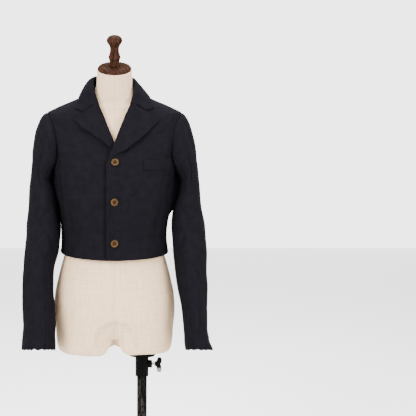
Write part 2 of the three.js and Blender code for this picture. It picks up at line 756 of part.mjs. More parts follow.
function button(radius) {
  const points = [
    [0, 0],
    [0.8, 0],
    [1, 0.16],
    [0.94, 0.33],
    [0.72, 0.34],
    [0.58, 0.22],
    [0, 0.2],
  ].map(([across, up]) => new THREE.Vector2(across * radius, up * radius));
  return new THREE.LatheGeometry(points, 16).rotateX(Math.PI / 2);
}
function placeButton(name, radius, gap, point, normal) {
  const mesh = place(name, button(radius), materials.horn);
  mesh.position.copy(point).addScaledVector(normal, gap);
  mesh.quaternion.setFromUnitVectors(new THREE.Vector3(0, 0, 1), normal);
}
frontButtons.forEach(({ height, gap }, i) => {
  const point = overFront(1, 0, height, 0);
  placeButton("front_button_" + (i + 1), frontButtonRadius, gap, point, jacketNormal(0, height));
});
for (const [side, name] of [[1, "left"], [-1, "right"]]) {
  cuffButtonHeights.forEach((height, i) => {
    const reach = 1 + (sleeveTop - height) / (sleeveTop - cuffHeight);
    const normal = mirrored(sleeveNormal(side, cuffButtonTurn, reach), side);
    const point = sleevePoint(side, cuffButtonTurn, reach);
    placeButton("cuff_button_" + name + "_" + (i + 1), cuffButtonRadius, cuffButtonGap, point, normal);
  });
}

// The form: one smooth body with a bore for the pole, and a notch between the thighs.
const formSides = 32;
const fitClearance = 0.35; // between the pole and what slides on it
const boreTop = 700;
const notchDepth = 34;
const notchHalfWidth = 22;
const notchTop = 550;
const undersideScales = [0.8, 0.55, 0.3];

function formPoint(angle, height, scale = 1) {
  const point = sectionPoint(formSections, angle, height);
  const middleY = lookUp(formSections, "height", "sideY", height);
  point.x *= scale;
  point.y = mix(middleY, point.y, scale);
  const middle = Math.exp(-((point.x / notchHalfWidth) ** 2));
  point.z += notchDepth * middle * (1 - ease(formBottom, notchTop, height));
  return point;
}
function formBody() {
  const ring = (height, scale) =>
    steps(formSides).slice(1).map((t) => formPoint(t * 2 * Math.PI, height, scale));
  const rings = [
    ...undersideScales.toReversed().map((scale) => ring(formBottom, scale)),
    ...formSections.map((row) => ring(row.height, 1)),
  ];
  const bore = standCylinder(poleRadius + 1.5, formBottom - 20, boreTop);
  return cut(ringGeometry(rings), bore);
}

// The stand's upright cylinders are all on the pole's axis.
function standCylinder(radius, bottom, top, sides = 32) {
  const geometry = new THREE.CylinderGeometry(radius, radius, top - bottom, sides).rotateX(Math.PI / 2);
  return geometry.translate(poleX, poleY, (top + bottom) / 2);
}
place("form_body", formBody(), materials.linen);

// The neck cap and its finial lean forward with the neck's cut.
const capTilt = Math.atan2(19, 48);
const neckTop = { y: -15, z: 1292 };
const capRadius = 47;
const capThickness = 11;
const finialLength = 87;

function turned(profile, sides = 20) {
  const points = profile.map(([radius, up]) => new THREE.Vector2(radius, up));
  return new THREE.LatheGeometry(points, sides).rotateX(Math.PI / 2);
}
const neck = new THREE.Group();
neck.position.set(0, neckTop.y, neckTop.z);
neck.rotation.x = capTilt;
part.add(neck);
function placeOnNeck(name, geometry) {
  const mesh = new THREE.Mesh(geometry, materials.wood);
  mesh.name = name;
  neck.add(mesh);
}
const capBottom = 0.4;
placeOnNeck("neck_cap", turned([
  [0, capBottom],
  [capRadius - 2, capBottom],
  [capRadius, capBottom + 2],
  [capRadius + 0.5, capBottom + 4.5],
  [capRadius - 1, capBottom + 7],
  [capRadius - 5, capBottom + 8],
  [capRadius - 8, capBottom + 10.2],
  [capRadius - 14, capBottom + capThickness],
  [0, capBottom + capThickness],
], 32));
const finialBottom = capBottom + capThickness + 0.3;
placeOnNeck("finial", turned([
  [0, 0],
  [14.5, 0],
  [15.5, 4],
  [14, 12],
  [14.4, 18],
  [17, 25],
  [14.6, 33],
  [12, 45],
  [13, 55],
  [18.5, 63],
  [21.8, 73],
  [18.6, 82],
  [11, 86.5],
  [0, finialLength],
].map(([radius, up]) => [radius, up + finialBottom])));

// Stand: base plate, pole, and the socket with its flange and thumb screw
const socketRadius = 18.5;
const flangeRadius = 37.5;
const flangeThickness = 9;
const flangeTop = formBottom - 0.3;
const bossRadius = 11;
const bossReach = 28.5; // from the pole's axis to the boss's end
const screwHeight = 464;
const screwRadius = 4;
const socketBore = poleRadius + fitClearance;

place("base_plate", turned([
  [0, 0],
  [baseRadius - 1, 0],
  [baseRadius, 1],
  [baseRadius, baseThickness - 2],
  [baseRadius - 3, baseThickness],
  [0, baseThickness],
], 40), materials.blackSteel);
place("pole", standCylinder(poleRadius, baseThickness + 0.05, poleTop), materials.blackSteel);

// A tube on the pole's axis
function sleeveTube(outerRadius, bottom, top) {
  const shape = new THREE.Shape().absarc(0, 0, outerRadius, 0, 2 * Math.PI);
  shape.holes.push(new THREE.Path().absarc(0, 0, socketBore, 0, 2 * Math.PI, true));
  const settings = { depth: top - bottom, bevelEnabled: false, curveSegments: 32 };
  return new THREE.ExtrudeGeometry(shape, settings).translate(poleX, poleY, bottom);
}
// A cylinder on the thumb screw's axis, between two distances from the pole's axis
function screwCylinder(radius, from, to, sides) {
  const geometry = new THREE.CylinderGeometry(radius, radius, to - from, sides).rotateZ(Math.PI / 2);
  return geometry.translate(poleX + (from + to) / 2, poleY, screwHeight);
}
const socketTube = sleeveTube(socketRadius, socketBottom, flangeTop - flangeThickness + 0.01);
const flangeRing = sleeveTube(flangeRadius, flangeTop - flangeThickness, flangeTop);
const boss = screwCylinder(bossRadius, socketBore + 0.5, bossReach, 24);
const screwHole = screwCylinder(screwRadius + 0.3, socketBore - 4, bossReach + 1, 16);
place("socket", cut(join(socketTube, flangeRing, boss), screwHole), materials.blackSteel);

// The thumb screw points away from the centre and its tip is just clear of the pole.
const screwTip = poleRadius + 0.6;
const screw = new THREE.Group();
screw.position.set(poleX, poleY, screwHeight);
screw.rotation.y = Math.PI / 2;
part.add(screw);
function placeOnScrew(name, geometry, material) {
  const mesh = new THREE.Mesh(geometry, material);
  mesh.name = name;
  screw.add(mesh);
}
const shaftEnd = 36;
placeOnScrew("screw_shaft", turned([
  [0, screwTip],
  [screwRadius - 0.8, screwTip],
  [screwRadius, screwTip + 1],
  [screwRadius, shaftEnd],
  [0, shaftEnd],
], 16), materials.steel);
const wing = new THREE.Shape();
wing.moveTo(-7, 0);
wing.bezierCurveTo(-8, 7, -19, 8, -21, 15);
wing.bezierCurveTo(-23, 23, -13, 24, -9, 17);
wing.bezierCurveTo(-6, 12, 6, 12, 9, 17);
wing.bezierCurveTo(13, 24, 23, 23, 21, 15);
wing.bezierCurveTo(19, 8, 8, 7, 7, 0);
wing.closePath();
const wings = new THREE.ExtrudeGeometry(wing, { depth: 6, bevelEnabled: false, curveSegments: 6 })
  .translate(0, 0, -3)
  .rotateX(Math.PI / 2)
  .translate(0, 0, shaftEnd + 0.3);
placeOnScrew("screw_wings", wings, materials.blackPlastic);

export default part;
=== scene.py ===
"""The dressed look of a cropped jacket on its dress form: cloth, buttons, linen, wood and steel.

Tables and shapes are in millimetres and become metres where a mesh is made.
+Z is up, the jacket faces -Y and the wearer's left is +X.
"""

import math

import bpy
import numpy as np
from bpy.props import FloatProperty, FloatVectorProperty, IntProperty, PointerProperty
from mathutils import Matrix, Vector
from mathutils.kdtree import KDTree


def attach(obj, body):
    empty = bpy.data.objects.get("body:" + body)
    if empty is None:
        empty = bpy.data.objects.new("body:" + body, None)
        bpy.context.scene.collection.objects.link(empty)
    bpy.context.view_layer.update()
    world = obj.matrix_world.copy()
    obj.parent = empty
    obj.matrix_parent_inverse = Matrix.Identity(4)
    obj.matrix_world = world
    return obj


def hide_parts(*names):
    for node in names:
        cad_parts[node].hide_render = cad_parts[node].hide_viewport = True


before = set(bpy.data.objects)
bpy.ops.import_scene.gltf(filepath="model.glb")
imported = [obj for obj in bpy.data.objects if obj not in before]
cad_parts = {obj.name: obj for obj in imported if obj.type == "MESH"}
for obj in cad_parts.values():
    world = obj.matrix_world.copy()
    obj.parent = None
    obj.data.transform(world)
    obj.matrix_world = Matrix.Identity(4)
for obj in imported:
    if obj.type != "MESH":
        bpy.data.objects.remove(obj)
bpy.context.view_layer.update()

bl_info = {
    "name": "Cropped Jacket on a Dress Form",
    "version": (1, 0, 0),
    "blender": (4, 5, 0),
    "location": "3D View > Sidebar > Jacket",
    "description": "Builds the cloth, buttons, form and stand of a cropped tailored jacket",
    "category": "Object",
}

MM = 0.001
TURN = 2 * math.pi
HANDS = {1: "left", -1: "right"}
EDGE_PLACES = (0.0, 0.7, 1.6, 2.9, 4.6)  # how far from an edge of the cloth its grid has lines


# ---------------------------------------------------------------- tables and curves


class Table:
    """Rows of numbers with named columns, read on a smooth curve without overshoot."""

    def __init__(self, columns, rows):
        self.names = columns.split()
        self.rows = np.array(rows, float)

    def __getitem__(self, name):
        return self.rows[:, self.names.index(name)]

    def at(self, name, value):
        """A column, read at a value of the first column."""
        x, y = self.rows[:, 0], self[name]
        value = np.clip(np.asarray(value, float), x[0], x[-1])
        slope = np.diff(y) / np.diff(x)
        tangent = np.concatenate([slope[:1], np.zeros(len(x) - 2), slope[-1:]])
        product, total = slope[:-1] * slope[1:], slope[:-1] + slope[1:]
        same_way = product > 0
        tangent[1:-1][same_way] = 2 * product[same_way] / total[same_way]
        i = np.clip(np.searchsorted(x, value, side="right") - 1, 0, len(x) - 2)
        span = x[i + 1] - x[i]
        t = (value - x[i]) / span
        rise = smoothed(t)
        bend = tangent[i] * t * (1 - t) ** 2 - tangent[i + 1] * t * t * (1 - t)
        return y[i] * (1 - rise) + y[i + 1] * rise + span * bend

    def row(self, value):
        """Every column but the first, read at a value of the first one."""
        return {name: self.at(name, value) for name in self.names[1:]}


def smoothed(t):
    return t * t * (3 - 2 * t)


def ease(low, high, value):
    """0 up to low, 1 from high and smooth between them."""
    return smoothed(np.clip((np.asarray(value, float) - low) / (high - low), 0, 1))


def bell(value, width):
    """1 where the value is 0, falling smoothly over the width on both sides."""
    return np.exp(-((value / width) ** 2))


def lerp(a, b, t):
    return a + (b - a) * t


def unit(vectors):
    return vectors / np.maximum(np.linalg.norm(vectors, axis=-1, keepdims=True), 1e-12)


def signed_power(value, power):
    return np.sign(value) * np.abs(value) ** power


def packed(length, spacing, first=EDGE_PLACES, last=None):
    """Places from 0 to length, close together at both ends and evenly spread between them."""
    last = first if last is None else last
    count = max(2, int(round((length - first[-1] - last[-1]) / spacing)))
    middle = np.linspace(first[-1], length - last[-1], count + 1)[1:-1]
    return np.concatenate([first, middle, length - np.array(last)[::-1]])


def through(points, count):
    """count points on a smooth curve through the control points of the last-but-one axis."""
    points = np.asarray(points, float)
    last = points.shape[-2] - 1
    place = np.linspace(0, last, count)
    i = np.minimum(place.astype(int), last - 1)
    t = (place - i)[:, None]
    before, after = np.maximum(i - 1, 0), np.minimum(i + 2, last)
    a, b = points[..., i, :], points[..., i + 1, :]
    slope_a = (b - points[..., before, :]) / 2
    slope_b = (points[..., after, :] - a) / 2
    rise = smoothed(t)
    return a * (1 - rise) + b * rise + slope_a * t * (1 - t) ** 2 - slope_b * t * t * (1 - t)


def lengths_along(line):
    """The distance along a line of points, from its first one to each."""
    return np.concatenate([[0], np.cumsum(np.linalg.norm(np.diff(line, axis=0), axis=1))])


def grid_normal(grid):
    return unit(np.cross(np.gradient(grid, axis=0), np.gradient(grid, axis=1)))


def turn_between(angle, other):
    """The angle from one direction to another, between half a turn back and half a turn on."""
    return np.arctan2(np.sin(angle - other), np.cos(angle - other))


def ripple(seed, length, *coordinates):
    """An uneven wave of about unit height over the given coordinates."""
    rng = np.random.default_rng(seed)
    total = 0
    for _ in range(6):
        turn = rng.uniform(0, TURN)
        direction = (math.cos(turn), math.sin(turn))
        reach = sum(c * d for c, d in zip(coordinates, direction))
        total = total + np.sin(reach * TURN / (length * rng.uniform(0.6, 1.7)) + rng.uniform(0, TURN))
    return total / 3.0


# ---------------------------------------------------------------- sizes shared with the solids

CLOTH = 2.0  # thickness
HEM = 783.0
UNDERARM = 1012.0
SHOULDER = 1172.0
NECKLINE = 1230.0  # where the collar's foot stands
WRAP = 21.0  # how far each front runs past the middle
GORGE = 1197.0  # where the lapels meet the collar

POLE_X, POLE_Y, POLE_RADIUS = 78.0, -38.0, 14.0
FORM_BOTTOM = 499.0

SECTION_COLUMNS = "height halfWidth sideY front back power frontRise backRise"
JACKET = Table(SECTION_COLUMNS, [
    [783, 152, -15, 124, 114, 2.05, -9, 5],
    [804, 149, -14, 119, 109, 2.1, -6, 3],
    [831, 147, -12, 115, 105, 2.15, 0, 0],
    [887, 153, -8, 122, 108, 2.25, 0, 0],
    [954, 163, 0, 131, 109, 2.35, 0, 0],
    [1012, 172, 8, 129, 107, 2.4, 0, 0],
    [1050, 177, 12, 119, 104, 2.45, 0, 0],
    [1090, 184, 16, 106, 101, 2.45, 0, 0],
    [1130, 190, 19, 92, 94, 2.4, -1, 2],
    [1160, 192, 21, 81, 85, 2.35, -3, 6],
    [1172, 190, 22, 77, 81, 2.3, -5, 9],
    [1182, 172, 21, 73, 77, 2.3, -8, 11],
    [1192, 150, 20, 70, 73, 2.3, -10, 12],
    [1202, 125, 18, 67, 69, 2.25, -12, 12],
    [1212, 102, 16, 64, 64, 2.2, -14, 12],
    [1222, 83, 14, 61, 58, 2.1, -16, 12],
    [1230, 70, 12, 58, 53, 2.0, -18, 12],
])

FORM = Table(SECTION_COLUMNS, [
    [499, 132, -36, 62, 66, 2.6, 0, 0],
    [502, 147, -36, 76, 79, 2.6, 0, 0],
    [510, 157, -36, 84, 87, 2.5, 0, 0],
    [534, 163, -35, 92, 95, 2.4, 0, 0],
    [574, 166, -32, 100, 106, 2.3, 0, 0],
    [620, 170, -30, 108, 114, 2.2, 0, 0],
    [660, 168, -28, 110, 112, 2.15, 0, 0],
    [706, 159, -25, 106, 103, 2.1, 0, 0],
    [777, 140, -20, 96, 86, 2.1, 0, 0],
    [820, 126, -14, 88, 78, 2.1, 0, 0],
    [887, 132, -8, 98, 84, 2.15, 0, 0],
    [954, 144, -2, 120, 92, 2.25, 0, 0],
    [1012, 152, 6, 117, 92, 2.3, 0, 0],
    [1050, 158, 11, 106, 90, 2.3, 0, 0],
    [1090, 166, 15, 92, 87, 2.3, 0, 0],
    [1130, 174, 18, 79, 81, 2.3, -1, 2],
    [1152, 178, 20, 71, 73, 2.25, -3, 5],
    [1170, 178, 21, 66, 69, 2.2, -5, 8],
    [1179.3, 172, 20, 62, 65, 2.1, -8, 10],
    [1189.2, 150, 19, 58, 61, 2.1, -10, 11],
    [1199.1, 125, 17, 56, 57, 2.05, -12, 11],
    [1209, 102, 15, 50, 52, 2.0, -12, 11],
    [1218, 80, 12, 48, 47, 2.0, -12, 12],
    [1232, 60, 7, 49, 47, 2.0, -13, 13],
    [1250, 51, 2, 50, 47, 2.0, -15, 14],
    [1272, 49, -7, 49, 48, 2.0, -17, 17],
    [1292, 48, -15, 48, 47, 2.0, -19, 19],
])

FOLD_COLUMNS = "topAngle topHeight footAngle footHeight halfWidth depth"
BODY_FOLDS = Table(FOLD_COLUMNS, [
    [139, 1165, 120, 890, 13, -6],
    [122, 1120, 104, 930, 11, -5],
    [156, 1150, 150, 840, 14, 4],
    [-142, 1160, -124, 905, 13, -5],
    [-124, 1110, -106, 940, 11, -4],
    [-160, 1140, -154, 830, 14, 4],
    [62, 1105, 70, 900, 12, -5],
    [-60, 1110, -72, 880, 12, -6],
    [44, 1010, 36, 820, 16, 3],
    [-42, 1020, -34, 810, 16, 3],
    [30, 1080, 64, 1000, 12, 3],
    [90, 1030, 90, 892, 16, 11.5],
    [-104, 970, -103, 790, 13, 8],
])
BODY_RADIUS = 130.0

# Finer creases in the body, each from one end to the other: angles in degrees, the rest in mm.
# The bow is how far its middle swings off the straight line, and the skew sharpens one side of it.
CREASE_COLUMNS = "startAngle startHeight endAngle endHeight bow halfWidth depth skew"
BODY_CREASES = Table(CREASE_COLUMNS, [
    [-4, 950, 9, 985, 2, 6, -2.4, 0.2],
    [-7, 968, 2, 1003, -2, 7, 1.7, 0],
    [5, 938, 26, 962, 3, 6, -1.6, -0.2],
    [-8, 892, 10, 902, -2, 5, -1.8, 0.3],
    [-8, 862, 14, 856, 2, 6, 1.4, 0],
    [-6, 846, 8, 835, 1, 5, -1.5, 0.2],
    [26, 1000, 22, 905, 4, 9, -1.3, 0.3],
    [-27, 1035, -22, 890, 5, 8, -1.7, 0.4],
    [-33, 1010, -30, 850, -4, 9, 1.2, 0],
    [50, 930, 46, 812, -5, 9, -1.6, -0.3],
    [57, 905, 60, 800, 4, 8, 1.2, 0.3],
    [-52, 950, -46, 800, 6, 9, -1.5, 0.4],
    [40, 1070, 62, 1040, 4, 7, -1.6, 0.3],
    [-40, 1075, -62, 1036, -4, 7, -1.8, -0.3],
    [34, 1120, 58, 1112, -5, 8, -1.2, 0.2],
    [-36, 1124, -57, 1108, 5, 8, -1.3, -0.2],
    [76, 900, 80, 810, 4, 8, -1.6, 0.4],
    [-78, 880, -84, 800, -4, 8, -1.6, -0.4],
    [-90, 1050, -90, 915, 0, 18, 11.0, 0],
    [90, 1010, 90, 886, 0, 18, 9.0, 0],
    [168, 1120, 163, 930, 6, 9, -1.5, 0.4],
    [172, 1000, 168, 830, -5, 8, 1.3, 0],
    [148, 1050, 140, 850, 8, 11, -2.2, 0.3],
    [133, 1000, 124, 815, -6, 9, 1.7, 0.2],
    [-166, 1135, -160, 950, -6, 9, -1.6, -0.4],
    [-171, 1010, -165, 835, 5, 8, 1.4, 0],
    [-149, 1040, -139, 840, -8, 11, -2.1, -0.3],
    [-131, 990, -122, 815, 6, 9, 1.6, -0.2],
    [125, 1160, 158, 1168, 6, 8, -1.6, 0.2],
    [-126, 1160, -156, 1170, -6, 8, -1.5, -0.2],
    [150, 905, 112, 890, -6, 9, -1.5, 0.2],
    [-148, 900, -114, 882, 6, 9, -1.4, -0.2],
])

ROLL_LINE = Table("height x", [
    [HEM, -WRAP],
    [1030, -WRAP],
    [1046, -15],
    [1062, -8.5],
    [1078, -2],
    [1095, 4.5],
    [1112, 11],
    [1137, 21],
    [1164, 32],
    [1180, 39],
    [1200, 47],
    [1218, 54],
    [1230, 57],
])

SLEEVE_TURNS, FRONT_SEAM, BACK_SEAM = 24, 8, 19
SLEEVE_TOP, CUFF = 1003.0, 524.0
SLEEVE_SQUARENESS = 2.2
SLEEVE_RADIUS = 62.0
HEAD_LIFT = {1: 60.0, -1: 76.0}  # degrees by which a sleeve leaves the armhole at the shoulder
UNDERARM_LIFT = 158.0
TUCK_WIDTH, TUCK_DEPTH = 5.0, 3.9
CAP_LENGTH, ARMHOLE_LENGTH = 170.0, 400.0
CUFF_FOLD = (27, 30)
CUFF_WAVE, CUFF_UNEVEN = 1.3, 2.2
SLEEVE_RINGS = Table("height y deep tilt lean leftX leftHalf rightX rightHalf", [
    [524, -120, 66, 13, 0, 234, 37, 210, 45.5],
    [548, -115, 65, 13, 0, 227, 34, 209, 45],
    [590, -105, 65, 14, 0, 223.5, 33, 207.5, 45.5],
    [640, -93, 67, 16, 0, 220.5, 35.5, 209, 44.5],
    [690, -78, 69, 18, 0, 216, 40, 211.5, 42],
    [740, -60, 71, 19, 0, 213, 44.5, 210.5, 42],
    [795, -42, 73, 18, 0, 211, 47.5, 202.5, 48],
    [850, -20, 74, 16, 2, 208, 47.5, 199.5, 47.5],
    [905, -3, 76, 12, 4, 205, 40, 200.5, 43],
    [960, 8, 77, 6, 12, 209.5, 31, 201.5, 38],
    [1003, 10, 74, 0, 25, 209, 25, 204.5, 29.5],
])
SLEEVE_FOLDS = Table(FOLD_COLUMNS, [
    [-92, 1120, -50, 960, 12, -7],
    [-60, 1150, -30, 1010, 9, -3],
    [60, 1150, 84, 930, 11, -6],
    [28, 1160, 40, 1040, 9, -3],
    [-8, 1150, -2, 1020, 8, 2.5],
    [120, 900, 60, 810, 13, -5],
    [70, 880, 140, 780, 12, -4],
    [100, 760, 50, 690, 13, -4],
    [-110, 800, -70, 640, 14, -3.5],
    [10, 720, -20, 590, 14, 3],
])

# Finer creases in each sleeve, as degrees from its outer edge towards the front.
SLEEVE_CREASES = {
    1: Table(CREASE_COLUMNS, [
        [44, 742, 40, 560, 5, 5, -1.8, 0.4],
        [62, 700, 58, 575, -4, 6, 1.4, 0.2],
        [20, 940, 48, 800, 10, 9, -2.0, 0.3],
        [84, 900, 30, 850, 6, 8, -2.0, 0.3],
        [110, 845, 40, 790, -6, 8, -2.2, 0.3],
        [96, 800, 20, 765, 5, 7, 1.7, 0],
        [118, 740, 62, 712, 4, 6, -1.7, 0.3],
        [-30, 900, -8, 760, 7, 9, -1.6, -0.3],
        [-60, 860, -30, 700, 9, 10, -2.4, 0.3],
        [-84, 980, -60, 870, 6, 8, -2.2, 0.3],
        [-100, 720, -52, 650, -7, 8, -1.8, 0.2],
        [-20, 660, 36, 604, 5, 7, -1.5, -0.3],
        [0, 590, 52, 566, 3, 5, -1.7, 0.3],
        [-24, 575, 10, 553, 3, 5, 1.5, 0],
        [70, 600, 96, 556, 3, 6, -1.6, 0.2],
        [-120, 930, -96, 780, 6, 9, -2.0, 0.3],
        [-150, 860, -110, 790, 6, 8, -1.8, 0.2],
        [150, 700, 176, 600, 6, 9, -1.6, 0.2],
    ]),
    -1: Table(CREASE_COLUMNS, [
        [30, 826, 34, 566, 6, 6, 2.0, 0.5],
        [44, 800, 50, 600, -5, 8, -2.0, 0.3],
        [14, 930, 36, 838, 8, 9, -1.7, 0.3],
        [92, 890, 34, 846, 6, 8, -2.0, 0.3],
        [112, 838, 46, 792, -6, 8, -2.1, 0.3],
        [96, 780, 24, 744, 5, 7, 1.6, 0],
        [6, 690, 74, 676, 4, 5, -1.3, 0.3],
        [0, 655, 70, 640, -3, 5, -1.2, 0.3],
        [8, 622, 78, 612, 3, 5, -1.3, 0.3],
        [-4, 592, 60, 578, -3, 5, -1.1, 0.2],
        [-34, 910, -10, 770, 7, 9, -1.6, -0.3],
        [-62, 850, -34, 690, 9, 10, -2.2, 0.3],
        [-86, 975, -60, 872, 6, 8, -2.1, 0.3],
        [-100, 700, -50, 640, -7, 8, -1.7, 0.2],
        [-120, 940, -98, 790, 6, 9, -1.9, 0.3],
        [-148, 850, -108, 780, 6, 8, -1.7, 0.2],
        [152, 720, 178, 610, 6, 9, -1.5, 0.2],
    ]),
}


# ---------------------------------------------------------------- surfaces of the body and sleeves


def section_point(sections, angle, height):
    """A point on a section: angle 0 is the centre front, a quarter turn the left side, half a turn the back."""
    angle, height = np.broadcast_arrays(np.asarray(angle, float), np.asarray(height, float))
    row = sections.row(height)
    across, along = np.sin(angle), np.cos(angle)
    curve = 2 / row["power"]
    in_front = along > 0
    depth = np.where(in_front, row["front"], row["back"])
    rise = np.where(in_front, row["frontRise"], row["backRise"])
    reach = np.abs(along) ** curve
    return np.stack([
        row["halfWidth"] * signed_power(across, curve),
        row["sideY"] - depth * np.sign(along) * reach,
        height + rise * reach,
    ], -1)


def angle_at(sections, x, height):
    half_width = sections.at("halfWidth", height)
    power = sections.at("power", height)
    return np.sign(x) * np.arcsin(np.minimum(1, np.abs(x) / half_width) ** (power / 2))


def fold_depth(folds, radius, angle, height):
    """The soft folds that the solids also have."""
    depth = 0
    for top_angle, top_height, foot_angle, foot_height, half_width, fold in folds.rows:
        t = (height - foot_height) / (top_height - foot_height)
        middle = np.radians(lerp(foot_angle, top_angle, np.clip(t, -0.2, 1.2)))
        along = ease(-0.15, 0.25, t) * (1 - ease(0.7, 1.1, t))
        depth = depth + fold * along * bell(turn_between(angle, middle) * radius, half_width)
    return depth


def crease_depth(creases, radius, angle, height):
    """The finer creases, each a bowed line that is softer on one side and fades at both ends."""
    depth = 0
    for start_angle, start_height, end_angle, end_height, bow, half_width, crease, skew in creases.rows:
        across = turn_between(angle, math.radians(start_angle)) * radius
        up = height - start_height
        run = math.radians(end_angle - start_angle) * radius
        rise = end_height - start_height
        length = math.hypot(run, rise)
        t = (across * run + up * rise) / length**2
        off = (across * rise - up * run) / length - 4 * bow * t * (1 - t)
        width = half_width * (0.8 + 0.4 * np.clip(t, 0, 1)) * np.where(off > 0, 1 + skew, 1 - skew)
        fade = ease(-0.02, 0.3, t) * (1 - ease(0.65, 1.02, t))
        depth = depth + crease * fade * bell(off, width)
    return depth


def surface_normal(point_at, u, v, step_u, step_v):
    along_u = point_at(u + step_u, v) - point_at(u - step_u, v)
    along_v = point_at(u, v + step_v) - point_at(u, v - step_v)
    return unit(np.cross(along_u, along_v))


def jacket_normal(angle, height):
    inside = np.clip(height, HEM + 1, NECKLINE - 1)
    return surface_normal(lambda a, h: section_point(JACKET, a, h), angle, inside, 0.005, 1.0)


def body_depth(angle, height):
    strength = bpy.context.scene.jacket_sizes.crease_strength
    smooth = fold_depth(BODY_FOLDS, BODY_RADIUS, angle, height)
    arc = np.asarray(angle) * BODY_RADIUS
    rumple = 0.35 * ripple(3, 60, arc, np.asarray(height) * 0.6) * (1 - ease(1150, 1215, height))
    return smooth + strength * (crease_depth(BODY_CREASES, BODY_RADIUS, angle, height) + rumple)


def jacket_point(angle, height, out=0.0):
    depth = body_depth(angle, height) + out
    return section_point(JACKET, angle, height) + jacket_normal(angle, height) * np.asarray(depth)[..., None]


ARMHOLE_MIDDLE = (UNDERARM + SHOULDER) / 2
ARMHOLE_HALF = (SHOULDER - UNDERARM) / 2
ARMHOLE_IN_FRONT, ARMHOLE_BEHIND = math.radians(31), math.radians(41)
LAP_OVER, LAP_UNDER, LAP_OVER_LAPEL = 1.9, 1.5, 2.6


def armhole_place(turn):
    """turn is 0 at the shoulder, a quarter at the front, a half at the underarm, three quarters at the back."""
    around = np.asarray(turn) * TURN
    sideways = signed_power(np.sin(around), 0.8)
    scoop = 1 + 0.15 * np.cos(around)
    reach = np.where(sideways > 0, ARMHOLE_IN_FRONT, ARMHOLE_BEHIND)
    return math.pi / 2 - reach * sideways * scoop, ARMHOLE_MIDDLE + ARMHOLE_HALF * np.cos(around)


def outer_angle(height, facing):
    level = np.clip((height - ARMHOLE_MIDDLE) / ARMHOLE_HALF, -1, 1)
    turn = np.arccos(level) / TURN
    angle, _ = armhole_place(turn if facing == "front" else 1 - turn)
    return np.where(np.abs(level) >= 1, math.pi / 2, angle)


def lap_offset(side, x, height):
    """How far the two fronts are moved apart where they lie on each other: the left one is on top."""
    reach = 1 - ease(34, 75, x)
    over_lapel = ease(1000, 1050, height) * (1 - ease(1120, 1160, height))
    return reach * (LAP_OVER + LAP_OVER_LAPEL * over_lapel) if side > 0 else -reach * LAP_UNDER


def nearest(points, curve):
    """The distance from every point of a grid to a line of points."""
    flat = points.reshape(-1, 3)
    found = np.full(len(flat), np.inf)
    for chunk in np.array_split(curve, max(1, len(curve) // 40)):
        found = np.minimum(found, np.linalg.norm(flat[:, None] - chunk[None], axis=-1).min(1))
    return found.reshape(points.shape[:-1])


def line_distance(points, line, count):
    """The distance from every point of a grid to a smooth curve through a line of points."""
    return nearest(points, through(line, count))


def seam_relief(distance, along, seed=1):
    """A seam's groove with the fuller cloth beside it, unevenly puckered by its stitches."""
    pucker = 1 + 0.45 * ripple(seed, 15, along)
    return 0.4 * pucker * bell(distance - 4.2, 2.4) - 1.35 * bell(distance, 1.5)


def edge_relief(distance):
    """The rounding of a turned edge."""
    return -0.75 * bell(distance, 0.85)


SHORTEST_ROW = 14.0  # a row shorter than this has its edge lines closer together
HEM_FOLD = (19.5, 22.5)  # where the turned-up cloth inside the hem ends
HEM_WALL = 0.6
FACING_FOLD = (6.0, 8.5)
FRONT_STAND, FRONT_STAND_WAVE, FRONT_STAND_REACH = 4.2, 0.8, (2, 16)  # the lap's edge stands off the cloth
LAP_TROUGH, LAP_TROUGH_PLACE, LAP_TROUGH_WIDTH = 2.2, WRAP + 1.5, 3.6  # the under front dips along it
HEM_WAVE = 1.1


def body_grid(side, facing):
    """A panel's angles and heights, packed along its seams and edges."""
    underarm_rows = HEM + packed(UNDERARM - HEM, 3.4, last=(0.0, 1.2, 2.6))
    armhole_turns = 0.5 * (1 - np.linspace(0, 1, 62)[1:])
    armhole_rows = armhole_place(armhole_turns)[1]
    shoulder_rows = np.linspace(SHOULDER, NECKLINE, 22)[1:]
    heights = np.concatenate([underarm_rows, armhole_rows, shoulder_rows])
    angles, arcs = [], []
    columns = 74 if facing == "front" else 72
    for height in heights:
        on_roll = float(angle_at(JACKET, ROLL_LINE.at("x", height), height))
        start = on_roll if facing == "front" else math.pi
        end = float(outer_angle(height, facing))
        fine = np.linspace(start, end, 160)
        line = section_point(JACKET, fine, height)
        lengths = lengths_along(line)
        edge = np.array(EDGE_PLACES) * min(1.0, lengths[-1] / SHORTEST_ROW)
        middle = np.linspace(edge[-1], lengths[-1] - edge[-1], columns - 8)[1:-1]
        places = np.concatenate([edge, middle, lengths[-1] - edge[::-1]])
        angles.append(np.interp(places, lengths, fine))
        arcs.append(places)
    return side * np.array(angles), np.repeat(heights[:, None], columns, 1), np.array(arcs)


